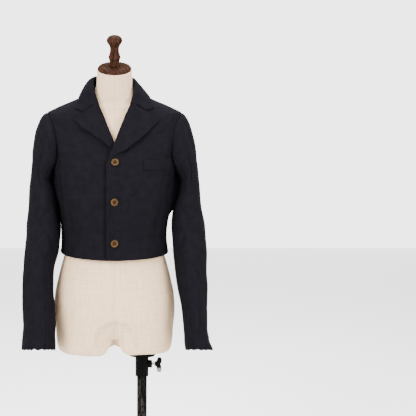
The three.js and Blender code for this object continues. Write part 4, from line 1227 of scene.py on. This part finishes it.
def varnished_wood():
    """Dark red-brown turned wood under varnish, streaked and with open pores."""
    brown = bpy.context.scene.form_sizes.wood_colour
    paint = Paint("varnished_wood", {"Coat Weight": 0.03, "Coat Roughness": 0.1, "Specular IOR Level": 0.0})
    x, y, z = paint.place()
    streak = paint.noise(x * 260.0, y * 260.0, z * 18.0, detail=5.0, roughness=0.6)
    ring = (streak * 6.0 + x * 500.0 + y * 210.0).sine() * 0.5 + 0.5
    tone = streak * 0.85 + ring * 0.15
    wood = paint.mix(tone.step(0.3, 0.72), shade(brown, 0.45), shade(brown, 1.7, (1.0, 0.92, 0.85)))
    pores = paint.noise(x * 900.0, y * 900.0, z * 60.0, detail=2.0)
    paint.colour(paint.mix(pores.step(0.42, 0.3) * 0.7, wood, shade(brown, 0.2)))
    paint.roughness(0.24 + streak * 0.22)
    paint.bump(streak * 0.6 + pores * 0.4, 0.00025, 0.5)
    return paint.material


def streaked_horn():
    """Polished brown horn, streaked, with a darker sunken middle."""
    tan = bpy.context.scene.jacket_sizes.horn_colour
    paint = Paint("streaked_horn", {"Coat Weight": 0.03, "Coat Roughness": 0.12, "Specular IOR Level": 0.02})
    radius = paint.grain()[2]
    x, y, z = paint.place()
    streak = paint.noise(x * 210.0, y * 210.0, z * 520.0, detail=4.0, roughness=0.6)
    body = paint.mix(streak.step(0.36, 0.66), shade(tan, 0.5, (1.0, 0.8, 0.6)), shade(tan, 1.35))
    middle = paint.mix(radius.step(0.62, 0.45) * 0.85, body, shade(tan, 0.36, (1.1, 0.6, 0.5)))
    paint.colour(paint.mix(radius.step(0.9, 0.99) * 0.4, middle, shade(tan, 0.45)))
    paint.roughness(0.3 + streak * 0.2)
    paint.bump(streak, 0.0001, 0.4)
    return paint.material


def button_thread():
    """Twisted dark thread."""
    navy = bpy.context.scene.jacket_sizes.cloth_colour
    paint = Paint("button_thread", {"Specular IOR Level": 0.02})
    x, y, z = paint.place()
    twist = ((x + y + z * 1.7) * 9000.0).sine() * 0.5 + 0.5
    paint.colour(paint.mix(twist, shade(navy, 0.6), shade(navy, 2.2)))
    paint.roughness(0.7 + twist * 0.2)
    paint.bump(twist, 0.0002, 0.7)
    return paint.material


# Colours of the stand, and the pale of the wing's painted reflection.
POLE_PAINT = (0.0024, 0.0022, 0.002, 1)
BARE_DARK, BARE_PALE = (0.011, 0.0103, 0.0094, 1), (0.034, 0.032, 0.029, 1)
SATIN_BLACK, DUSTY_BLACK = (0.0012, 0.0010, 0.0009, 1), (0.0042, 0.0039, 0.0036, 1)
WING_BLACK, WING_PAINTED_REFLECTION = (0.0016, 0.0015, 0.0014, 1), (0.16, 0.155, 0.15, 1)
STEEL_DARK, STEEL_PALE = (0.36, 0.36, 0.35, 1), (0.66, 0.66, 0.64, 1)


def worn_black_steel():
    """Black paint, rubbed through to grey steel in patches."""
    paint = Paint("worn_black_steel", {"Specular IOR Level": 0.0})
    x, y, z = paint.place()
    patches = paint.noise(x * 150.0, y * 150.0, z * 85.0, detail=6.0, roughness=0.68)
    scratches = paint.noise(x * 420.0, y * 420.0, z * 9.0, detail=3.0, roughness=0.7)
    low = z.step(0.5, 0.36) * 0.16 + z.step(0.05, 0.012) * -0.3
    rubbed = (patches * 0.7 + scratches * 0.3 + low).step(0.62, 0.74)
    bare = paint.mix(scratches.step(0.3, 0.7), BARE_DARK, BARE_PALE)
    paint.colour(paint.mix(rubbed * 0.8, POLE_PAINT, bare))
    paint.feed(paint.shader.inputs["Metallic"], rubbed * 0.03)
    paint.roughness(0.34 + patches * 0.25)
    paint.bump(patches * 0.5 + scratches * 0.6 - rubbed * 0.5, 0.0002, 0.5)
    return paint.material


def black_paint():
    """Even satin black paint with a little dust."""
    paint = Paint("black_paint", {"Specular IOR Level": 0.02})
    x, y, z = paint.place()
    dust = paint.noise(x * 40.0, y * 40.0, z * 40.0, detail=5.0)
    peel = paint.noise(x * 700.0, y * 700.0, z * 700.0, detail=2.0)
    paint.colour(paint.mix(dust.step(0.45, 0.75) * 0.4, SATIN_BLACK, DUSTY_BLACK))
    paint.roughness(0.3 + dust * 0.25)
    paint.bump(peel, 0.0001, 0.5)
    return paint.material


def black_with_painted_reflection():
    """Black plastic, with a painted reflection of the floor making the lower wing pale."""
    paint = Paint("black_with_painted_reflection", {"Specular IOR Level": 0.03})
    x, y, z = paint.place()
    grime_and_reflection_noise = paint.noise(x * 260.0, y * 260.0, z * 260.0, detail=5.0)
    # painted reflection: below a set height the wing is made pale, as if it mirrored the white floor
    pale = (z + grime_and_reflection_noise * 0.006).step(0.4575, 0.4535) * (0.55 + grime_and_reflection_noise * 0.6)
    paint.colour(paint.mix(pale, WING_BLACK, WING_PAINTED_REFLECTION))
    paint.roughness(0.4 + grime_and_reflection_noise * 0.3)
    paint.bump(grime_and_reflection_noise, 0.0002, 0.5)
    return paint.material


def turned_steel():
    """Turned steel with fine rings round its axis."""
    paint = Paint("turned_steel", {"Metallic": 1.0})
    x, y, z = paint.place()
    rings = (x * 9000.0).sine() * 0.5 + 0.5
    smear = paint.noise(x * 200.0, y * 200.0, z * 200.0, detail=4.0)
    paint.colour(paint.mix(smear, STEEL_DARK, STEEL_PALE))
    paint.roughness(0.2 + smear * 0.2)
    paint.bump(rings, 0.00015, 0.6)
    return paint.material


def studio_floor():
    """Plain pale floor."""
    colour = bpy.context.scene.stage_sizes.floor_colour
    paint = Paint("studio_floor", {"Specular IOR Level": 0.1})
    x, y, _ = paint.place()
    cloud = paint.noise(x * 1.5, y * 1.5, detail=2.0)
    paint.colour(paint.mix(cloud, shade(colour, 0.99), shade(colour, 1.0)))
    paint.roughness(0.9 + cloud * 0.05)
    return paint.material


def lit_backdrop():
    """The white wall behind the form, lit by its own lamps."""
    return Paint("lit_backdrop", {
        "Base Color": (0.05, 0.05, 0.05, 1.0), "Emission Color": (1.0, 1.0, 1.0, 1.0), "Emission Strength": 3.7,
        "Specular IOR Level": 0.0,
    }).material


MAKERS = {maker.__name__: maker for maker in (
    navy_wool, woven_linen, varnished_wood, streaked_horn, button_thread, worn_black_steel, black_paint,
    black_with_painted_reflection, turned_steel, studio_floor, lit_backdrop,
)}


def material(name):
    """A material by name, made when it is first asked for."""
    return bpy.data.materials.get(name) or MAKERS[name]()


def repaint(node, name):
    """A better material on a solid that stays."""
    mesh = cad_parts[node].data
    mesh.materials.clear()
    mesh.materials.append(material(name))


# ---------------------------------------------------------------- settings


class JacketSizes(bpy.types.PropertyGroup):
    crease_strength: FloatProperty(
        name="Creases", description="Depth of the fine creases against their own size",
        default=1.5, min=0, max=2)
    twill_pitch: FloatProperty(
        name="Twill pitch", description="Width of a twill line, in millimetres", default=1.5, min=0.5, max=4)
    cloth_colour: FloatVectorProperty(
        name="Cloth", description="Colour of the wool", subtype="COLOR", size=3, min=0, max=1,
        default=(0.0037, 0.0034, 0.0047))
    horn_colour: FloatVectorProperty(
        name="Buttons", description="Colour of the horn buttons", subtype="COLOR", size=3, min=0, max=1,
        default=(0.048, 0.029, 0.0125))


class FormSizes(bpy.types.PropertyGroup):
    sides: IntProperty(
        name="Sides", description="Faces round the linen form", default=180, min=32, max=256)
    linen_pitch: FloatProperty(
        name="Linen pitch", description="Width of two linen threads, in millimetres",
        default=1.3, min=0.5, max=4)
    linen_colour: FloatVectorProperty(
        name="Linen", description="Colour of the linen", subtype="COLOR", size=3, min=0, max=1,
        default=(0.575, 0.41, 0.265))
    wood_colour: FloatVectorProperty(
        name="Wood", description="Colour of the varnished wood", subtype="COLOR", size=3, min=0, max=1,
        default=(0.0195, 0.0086, 0.0052))


class StageSizes(bpy.types.PropertyGroup):
    distance: FloatProperty(
        name="Camera distance", description="From the camera to the middle of the form",
        default=3.0, min=1, max=10, unit="LENGTH")
    eye: FloatProperty(
        name="Camera height", description="Height of the camera over the floor", default=1.184, min=0, max=3,
        unit="LENGTH")
    aim: FloatProperty(
        name="Aim height", description="Height at which the camera aims", default=0.904, min=0, max=3,
        unit="LENGTH")
    lens: FloatProperty(
        name="Lens", description="Focal length in millimetres", default=92.0, min=20, max=300)
    sky: FloatProperty(
        name="Sky", description="Strength of the even light from all round", default=2.0, min=0, max=10)
    floor_colour: FloatVectorProperty(
        name="Floor", description="Colour of the floor", subtype="COLOR", size=3, min=0, max=1,
        default=(0.9, 0.9, 0.9))


# ---------------------------------------------------------------- operators


class JACKET_OT_body(bpy.types.Operator):
    """Makes the two fronts and the two backs"""

    bl_idname = "jacket.body"
    bl_label = "Body Panels"

    def execute(self, context):
        for side, hand in HANDS.items():
            front = cloth_piece(f"front_{hand}", body_panel(side, "front"), (1, 0, 1, 0))
            back = cloth_piece(f"back_{hand}", body_panel(side, "back"), (1, 0, 0, 0))
        return {"FINISHED"}


class JACKET_OT_sleeves(bpy.types.Operator):
    """Makes the upper and under pieces of both sleeves"""

    bl_idname = "jacket.sleeves"
    bl_label = "Sleeves"

    def execute(self, context):
        for side, hand in HANDS.items():
            over = sleeve_panel(side, BACK_SEAM - SLEEVE_TURNS, FRONT_SEAM)
            upper = cloth_piece(f"upper_sleeve_{hand}", over, (0, 1, 0, 0))
            under = cloth_piece(f"under_sleeve_{hand}", sleeve_panel(side, FRONT_SEAM, BACK_SEAM), (0, 1, 0, 0))
        return {"FINISHED"}


class JACKET_OT_collar(bpy.types.Operator):
    """Makes the collar and both lapels"""

    bl_idname = "jacket.collar"
    bl_label = "Collar and Lapels"

    def execute(self, context):
        for side, hand in HANDS.items():
            lapel = cloth_piece(f"lapel_{hand}", lapel_panel(side), (1, 1, 0, 1))
        collar = cloth_piece("collar", collar_sheet(), (1, 1, 0, 1))
        return {"FINISHED"}


class JACKET_OT_pocket(bpy.types.Operator):
    """Makes the welt of the breast pocket"""

    bl_idname = "jacket.pocket"
    bl_label = "Breast Pocket"

    def execute(self, context):
        welt = cloth_piece("pocket_welt", welt_sheet())
        return {"FINISHED"}


FRONT_BUTTONS = Table("height gap x", [[1037, 1.0, 1.6], [932, 0.7, 0], [818, 1.8, 0]])
FRONT_BUTTON_RADIUS, CUFF_BUTTON_RADIUS = 10.3, 8.2
CUFF_BUTTON_HEIGHTS = (608.0, 587.0, 566.0)
CUFF_BUTTON_TURN, CUFF_BUTTON_GAP = 0.835, 1.0
HOLE_PLACE, HOLE_RADIUS = 0.2, 0.085  # as shares of the button's radius
STRAND_RADIUS, STRAND_SHIFT = 0.24, 0.16
BUTTONHOLE_FROM, BUTTONHOLE_TO = -13.0, 4.0
# Radius and height of the button's outline, as shares of its radius.
BUTTON_PROFILE = [
    [0, 0], [0.72, 0.0], [0.95, 0.05], [1.0, 0.16], [0.985, 0.26], [0.93, 0.33], [0.84, 0.355], [0.74, 0.34],
    [0.66, 0.29], [0.58, 0.235], [0.45, 0.205], [0.2, 0.195], [0, 0.195],
]


def button_frame(point, normal, roll=0.0):
    """Where a button sits, as a matrix in millimetres."""
    up = Vector(normal)
    turn = Vector((0, 0, 1)).rotation_difference(up).to_matrix().to_4x4()
    return Matrix.Translation(Vector(point)) @ turn @ Matrix.Rotation(roll, 4, "Z")


def moved(points, matrix):
    array = np.array(matrix)
    return np.asarray(points) @ array[:3, :3].T + array[:3, 3]


def button(name, node, radius, point, normal, roll):
    """A turned horn button with four holes and its crossed thread."""
    profile = through(np.array(BUTTON_PROFILE) * radius, 34)
    profile[:, 0] = np.maximum(profile[:, 0], 0)
    profile[0, 0] = profile[-1, 0] = 0
    points, faces, grain = lathe(profile, 48)
    grain[:, 2] /= radius
    place = button_frame(point, normal, roll)
    piece = make_object(name, moved(points, place), faces, material("streaked_horn"), grain)
    spots = [(x * radius * HOLE_PLACE, y * radius * HOLE_PLACE) for x in (-1, 1) for y in (-1, 1)]
    heights = (-1.0, radius * 0.2, radius * 0.6)
    holes = [tube([[x, y, up] for up in heights], radius * HOLE_RADIUS, 12) for x, y in spots]
    hole_points, hole_faces = joined(holes)
    cutter = make_object(name + "_holes", moved(hole_points, place), hole_faces, material("streaked_horn"))
    apply_boolean(piece, cutter)
    strands = []
    t = np.linspace(0, 1, 9)
    up = radius * (0.13 + 0.13 * np.sin(math.pi * t) ** 0.6)
    for (x0, y0), (x1, y1) in (spots[:2], spots[2:]):
        for shift in (-STRAND_SHIFT, STRAND_SHIFT):
            path = np.stack([lerp(x0, x1, t) + shift, lerp(y0, y1, t), up], -1)
            strands.append(tube(path, STRAND_RADIUS, 6))
    shank = tube([[0, 0, up] for up in (-1.6, -0.6, 0.4)], radius * 0.2, 12)
    points, faces = joined([*strands, shank])
    thread = make_object(name + "_thread", moved(points, place), faces, material("button_thread"))
    settle(piece, node)
    settle(thread, None)


def buttonhole(name, centre_x, height):
    """A worked buttonhole: a slit's two beads of close stitches on the left front, and the bar at its end."""
    parts = []
    t = np.linspace(0, 1, 40)
    for offset in (-0.75, 0.75):
        x = centre_x + lerp(BUTTONHOLE_FROM, BUTTONHOLE_TO, t)
        z = height + offset * np.ones_like(t)
        lift = 0.1 + 0.1 * np.sin(t * TURN * 13 + offset)
        parts.append(tube(over_front(1, x, z, lift), 0.62, 6))
    z = height + np.linspace(-1.5, 1.5, 8)
    parts.append(tube(over_front(1, centre_x + BUTTONHOLE_FROM + 0 * z, z, 0.2), 0.5, 6))
    points, faces = joined(parts)
    settle(make_object(name, points, faces, material("button_thread")), None)


class JACKET_OT_buttons(bpy.types.Operator):
    """Makes the front and cuff buttons with their threads, and the buttonholes"""

    bl_idname = "jacket.buttons"
    bl_label = "Buttons"

    def execute(self, context):
        for i, (height, gap, x) in enumerate(FRONT_BUTTONS.rows, 1):
            normal = jacket_normal(0.0, height)
            point = over_front(1, x, height, 0.0) + normal * gap
            button(f"horn_front_button_{i}", f"front_button_{i}", FRONT_BUTTON_RADIUS, point, normal, 0.3 * i)
            buttonhole(f"worked_buttonhole_{i}", x, height)
        for side, hand in HANDS.items():
            for i, height in enumerate(CUFF_BUTTON_HEIGHTS, 1):
                reach = np.array(1 + (SLEEVE_TOP - height) / (SLEEVE_TOP - CUFF))
                turn = np.array(CUFF_BUTTON_TURN)
                normal = mirrored(sleeve_normal(side, turn, reach), side)
                point = sleeve_point(side, turn, reach) + normal * CUFF_BUTTON_GAP
                button(f"horn_cuff_button_{hand}_{i}", f"cuff_button_{hand}_{i}", CUFF_BUTTON_RADIUS,
                       point, normal, 0.5 * i)
        return {"FINISHED"}


NOTCH_RISE, NOTCH_WIDTH = 42, 18.5
FLANGE_RISE, FLANGE_WIDTH = 4, 60
CROTCH_HOLLOW, CROTCH_WIDTH = 0.4, 28
ARCH_HOLLOW, ARCH_X, ARCH_Z, ARCH_WIDTH, ARCH_HEIGHT = 0.13, 4, 540, 64, 68


def form_point(angle, height, scale=1.0):
    """A point on the linen form, whose underside rises between the thighs."""
    point = section_point(FORM, angle, height)
    middle = FORM.at("sideY", height)
    point[..., 0] *= scale
    point[..., 1] = lerp(middle, point[..., 1], scale)
    x = point[..., 0]
    notch = bell(x, NOTCH_WIDTH) * (1 - ease(FORM_BOTTOM, 550, height))
    over_flange = bell(x - POLE_X, FLANGE_WIDTH) * (1 - ease(FORM_BOTTOM, 530, height))
    arch = np.hypot((x - ARCH_X) / ARCH_WIDTH, np.maximum(height - ARCH_Z, 0) / ARCH_HEIGHT)
    hollow = CROTCH_HOLLOW * bell(x, CROTCH_WIDTH) * (1 - ease(520, 600, height))
    hollow = hollow + ARCH_HOLLOW * (1 - ease(0.75, 1.02, arch)) * ease(FORM_BOTTOM, 540, height)
    point[..., 1] = lerp(point[..., 1], middle, hollow)
    point[..., 2] += NOTCH_RISE * notch + FLANGE_RISE * over_flange
    return point


# How far the underside's rings lie from its middle, as shares of the form's outline.
UNDER_RINGS = (0.2, 0.4, 0.6, 0.78, 0.9, 0.97)
FORM_TOP = 1292.0
DEGREE_ARC = 2.6  # the form's surface per degree of turn
BAND_HEIGHT, BAND_SLOPE = 1279, -0.39  # the seam round the neck, under the cap
BORE_CLEARANCE = 1.5


def form_seams(outside, angle):
    """The distance to the nearest seam: in the middle, at the sides and round the neck."""
    side = np.abs(np.abs(np.degrees(turn_between(angle, 0))) - 90) * DEGREE_ARC
    band = np.abs(outside[..., 2] - (BAND_HEIGHT + (outside[..., 1] + 15) * BAND_SLOPE))
    return np.minimum(np.minimum(np.abs(outside[..., 0]), side), band)


class FORM_OT_linen(bpy.types.Operator):
    """Makes the linen-covered form with its seams and its bore for the pole"""

    bl_idname = "form.linen"
    bl_label = "Linen Form"

    def execute(self, context):
        sides = context.scene.form_sizes.sides
        angle = np.arange(sides) / sides * TURN
        angle = angle - 0.16 * np.sin(4 * angle)
        lower = FORM_BOTTOM + np.concatenate([[0, 0.7, 1.7, 3.2, 5.2, 8.0], np.linspace(11, 288, 74)])
        upper = np.concatenate([np.linspace(790, 1150, 60), np.linspace(1156, FORM_TOP, 44)])
        grid_angle, grid_height = np.meshgrid(angle, np.concatenate([lower, upper]))
        outside = form_point(grid_angle, grid_height)
        around = np.roll(outside, -1, 1) - np.roll(outside, 1, 1)
        normal = unit(np.cross(around, np.gradient(outside, axis=0)))
        seam = form_seams(outside, grid_angle)
        relief = -0.55 * bell(seam, 1.1) + 0.25 * bell(seam - 3.2, 1.8)
        outside = outside + normal * relief[..., None]
        under = []
        for scale in UNDER_RINGS:
            ring = form_point(angle, np.full(sides, FORM_BOTTOM), scale)
            ring[..., 2] -= 1.2 * (1 - scale)
            under.append(ring)
        grid = np.concatenate([np.array(under), outside])
        rows = len(grid)
        points = np.concatenate([grid.reshape(-1, 3), [grid[0].mean(0), outside[-1].mean(0)]])
        faces = ring_faces(rows, sides)
        for j in range(sides):
            k = (j + 1) % sides
            faces.append((rows * sides, k, j))
            faces.append((rows * sides + 1, (rows - 1) * sides + j, (rows - 1) * sides + k))
        arc = np.degrees(grid_angle) * DEGREE_ARC
        below, plain = FORM_BOTTOM - 9, float(FAR_FROM_SEAM)
        grain_out = np.stack([arc, grid_height, seam], -1)
        grain_under = np.stack([
            arc[:len(under)], np.full((len(under), sides), below), np.full((len(under), sides), plain)], -1)
        ends = [[0, below, plain], [0, FORM_TOP, plain]]
        grain = np.concatenate([grain_under.reshape(-1, 3), grain_out.reshape(-1, 3), ends])
        body = make_object("linen_form_body", points, faces, material("woven_linen"), grain)
        bore = [[POLE_X, POLE_Y, height] for height in (450, 600, 700)]
        pole_hole, hole_faces = tube(bore, POLE_RADIUS + BORE_CLEARANCE, 48)
        apply_boolean(body, make_object("form_bore", pole_hole, hole_faces, material("woven_linen")))
        settle(body, "form_body")
        return {"FINISHED"}


NECK_TILT = math.atan2(19, 48)
NECK_PLACE = (0, -15, FORM_TOP)
CAP_FLUTES, FLUTE_DEPTH = 28, 0.9
CAP_SIDES, FINIAL_SIDES = 224, 96
# Radius and height of the outlines over the neck's cut.
CAP_PROFILE = [
    [0, 0.4], [44.6, 0.4], [46.4, 1.0], [47.2, 2.6], [47.3, 4.4], [46.4, 5.6], [45.2, 6.2], [44.8, 7.0],
    [43.4, 8.4], [41.0, 9.6], [38.4, 10.4], [36.6, 10.2], [35.4, 9.5], [34.2, 9.5], [32.6, 10.4], [29.0, 11.3],
    [22.0, 11.4], [0, 11.4],
]
FINIAL_PROFILE = [
    [0, 11.7], [14.6, 11.7], [15.4, 12.6], [15.6, 15.0], [14.9, 17.2], [14.0, 19.0], [13.7, 22.5],
    [14.0, 27.0], [14.9, 30.6], [16.6, 34.4], [17.1, 36.6], [16.5, 39.2], [14.7, 44.0], [13.0, 50.0],
    [12.2, 56.0], [12.2, 61.0], [13.2, 67.5], [15.8, 73.0], [18.9, 77.4], [21.3, 82.0], [21.9, 85.2],
    [21.2, 88.2], [18.9, 92.6], [15.0, 96.0], [9.5, 98.2], [4.0, 98.9], [0, 99.0],
]


class FORM_OT_wood(bpy.types.Operator):
    """Makes the turned cap on the neck and its finial"""

    bl_idname = "form.wood"
    bl_label = "Neck Cap and Finial"

    def execute(self, context):
        place = Matrix.Translation(NECK_PLACE) @ Matrix.Rotation(NECK_TILT, 4, "X")
        for name, node, profile, sides in (
            ("turned_neck_cap", "neck_cap", CAP_PROFILE, CAP_SIDES),
            ("turned_finial", "finial", FINIAL_PROFILE, FINIAL_SIDES),
        ):
            points, faces, grain = lathe(turned_profile(profile, 0.8), sides)
            if node == "neck_cap":
                radius = np.hypot(points[:, 0], points[:, 1])
                on_top = ease(36.5, 41, radius) * (1 - ease(46.2, 47.2, radius)) * ease(5.0, 6.5, points[:, 2])
                turns = np.arctan2(points[:, 1], points[:, 0])
                points[:, 2] += FLUTE_DEPTH * np.cos(CAP_FLUTES * turns) * on_top
            piece = make_object(name, moved(points, place), faces, material("varnished_wood"), grain)
            settle(piece, node)
        return {"FINISHED"}


SCREW_HEIGHT = 464.0
LOBE_POWER = 0.75
WING_LOBES = Table("x z radiusX radiusY radiusZ tilt", [
    [121.0, 0, 7.6, 6.2, 8.0, 0],
    [127.0, 8.5, 7.0, 4.6, 10.5, 6],
    [126.5, -12.5, 7.0, 4.6, 12.0, -6],
])


def rounded_lobe(x, z, radius_x, radius_y, radius_z, tilt):
    """One smooth lobe of the thumb screw's cast wings."""
    turn = np.linspace(0, math.pi, 15)
    outline = np.stack([np.abs(np.sin(turn)) ** LOBE_POWER, -signed_power(np.cos(turn), LOBE_POWER)], -1)
    points, faces, _ = lathe(outline, 28)
    place = (Matrix.Translation((x, POLE_Y, SCREW_HEIGHT + z)) @ Matrix.Rotation(math.radians(tilt), 4, "Y")
             @ Matrix.Diagonal((radius_x, radius_y, radius_z, 1)))
    return moved(points, place), faces


class STAND_OT_metal(bpy.types.Operator):
    """Paints the pole, socket, base and thumb screw, and makes the screw's wings"""

    bl_idname = "stand.metal"
    bl_label = "Stand"

    def execute(self, context):
        repaint("pole", "worn_black_steel")
        for node in ("base_plate", "socket"):
            repaint(node, "black_paint")
        points, faces = joined([rounded_lobe(*row) for row in WING_LOBES.rows])
        wings = make_object("cast_screw_wings", points, faces, material("black_with_painted_reflection"))
        settle(wings, "screw_wings", "thumb_screw")
        repaint("screw_shaft", "turned_steel")
        for node, width in (("base_plate", 0.0009), ("socket", 0.0006)):
            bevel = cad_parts[node].modifiers.new("edges", "BEVEL")
            bevel.width = width
            bevel.segments = 2
            bevel.limit_method = "ANGLE"
            bevel.angle_limit = math.radians(50)
        return {"FINISHED"}


FLOOR_HALF = 9000.0
WALL_HALF, WALL_Y, WALL_HEIGHT = 4000.0, 6000.0, 4000.0
LAMP_TARGET = Vector((0, 0, 0.95))
CAMERA_SHIFT = 0.2248


class STAGE_OT_studio(bpy.types.Operator):
    """Makes the floor, the backdrop, the soft lights and the camera"""

    bl_idname = "stage.studio"
    bl_label = "Studio"

    def execute(self, context):
        scene = context.scene
        sizes = scene.stage_sizes
        edge = FLOOR_HALF
        ground = [[-edge, -edge, 0], [edge, -edge, 0], [edge, edge, 0], [-edge, edge, 0]]
        floor = make_object("studio_floor", ground, [(0, 1, 2, 3)], material("studio_floor"), smooth=False)
        edge, back, top = WALL_HALF, WALL_Y, WALL_HEIGHT
        wall = [[-edge, back, 0], [edge, back, 0], [edge, back, top], [-edge, back, top]]
        make_object("white_backdrop", wall, [(3, 2, 1, 0)], material("lit_backdrop"), smooth=False)
        world = bpy.data.worlds.new("studio_air")
        scene.world = world
        world.use_nodes = True
        background = world.node_tree.nodes["Background"]
        background.inputs["Color"].default_value = (1.0, 1.0, 1.0, 1.0)
        background.inputs["Strength"].default_value = sizes.sky
        for name, place, size, power, colour in (
            ("left_window", (-2.1, -2.6, 2.3), (1.2, 1.8), 300, (1.0, 0.99, 0.97)),
            ("right_window", (2.4, -2.2, 1.9), (1.0, 1.8), 165, (0.98, 0.99, 1.0)),
            ("top_window", (0.2, 0.4, 3.2), (2.4, 2.0), 220, (1.0, 1.0, 1.0)),
        ):
            light = bpy.data.lights.new(name, "AREA")
            light.shape = "RECTANGLE"
            light.size, light.size_y = size
            light.energy = power
            light.color = colour
            lamp = bpy.data.objects.new(name, light)
            lamp.location = place
            lamp.rotation_euler = (LAMP_TARGET - Vector(place)).to_track_quat("-Z", "Y").to_euler()
            scene.collection.objects.link(lamp)
        camera = bpy.data.cameras.new("photo_camera")
        camera.sensor_width = 36.0
        camera.lens = sizes.lens
        camera.shift_x = CAMERA_SHIFT
        camera.clip_end = 50.0
        view = bpy.data.objects.new("photo_camera", camera)
        view.location = (0, -sizes.distance, sizes.eye)
        drop = math.atan2(sizes.eye - sizes.aim, sizes.distance)
        view.rotation_euler = (math.pi / 2 - drop, 0, 0)
        scene.collection.objects.link(view)
        scene.camera = view
        return {"FINISHED"}


STEPS = (
    ("stage.studio", STAGE_OT_studio), ("jacket.body", JACKET_OT_body),
    ("jacket.sleeves", JACKET_OT_sleeves), ("jacket.collar", JACKET_OT_collar),
    ("jacket.pocket", JACKET_OT_pocket), ("jacket.buttons", JACKET_OT_buttons),
    ("form.linen", FORM_OT_linen), ("form.wood", FORM_OT_wood), ("stand.metal", STAND_OT_metal),
)


class JACKET_PT_panel(bpy.types.Panel):
    """Lists the pieces of the jacket and its stand"""

    bl_idname = "JACKET_PT_panel"
    bl_label = "Cropped Jacket"
    bl_space_type = "VIEW_3D"
    bl_region_type = "UI"
    bl_category = "Jacket"

    def draw(self, context):
        for name, sizes in (("Jacket", "jacket_sizes"), ("Form", "form_sizes"), ("Stage", "stage_sizes")):
            box = self.layout.box()
            box.label(text=name)
            group = getattr(context.scene, sizes)
            for setting in group.__annotations__:
                box.prop(group, setting)
        for step, _ in STEPS:
            self.layout.operator(step)


GROUPS = {"jacket_sizes": JacketSizes, "form_sizes": FormSizes, "stage_sizes": StageSizes}


def register():
    for group in GROUPS.values():
        bpy.utils.register_class(group)
    for name, group in GROUPS.items():
        setattr(bpy.types.Scene, name, PointerProperty(type=group))
    for _, operator in STEPS:
        bpy.utils.register_class(operator)
    bpy.utils.register_class(JACKET_PT_panel)


def unregister():
    bpy.utils.unregister_class(JACKET_PT_panel)
    for _, operator in reversed(STEPS):
        bpy.utils.unregister_class(operator)
    for name, group in GROUPS.items():
        delattr(bpy.types.Scene, name)
        bpy.utils.unregister_class(group)


def main():
    register()
    for step, _ in STEPS:
        group, name = step.split(".")
        getattr(getattr(bpy.ops, group), name)()


if __name__ == "__main__":
    main()
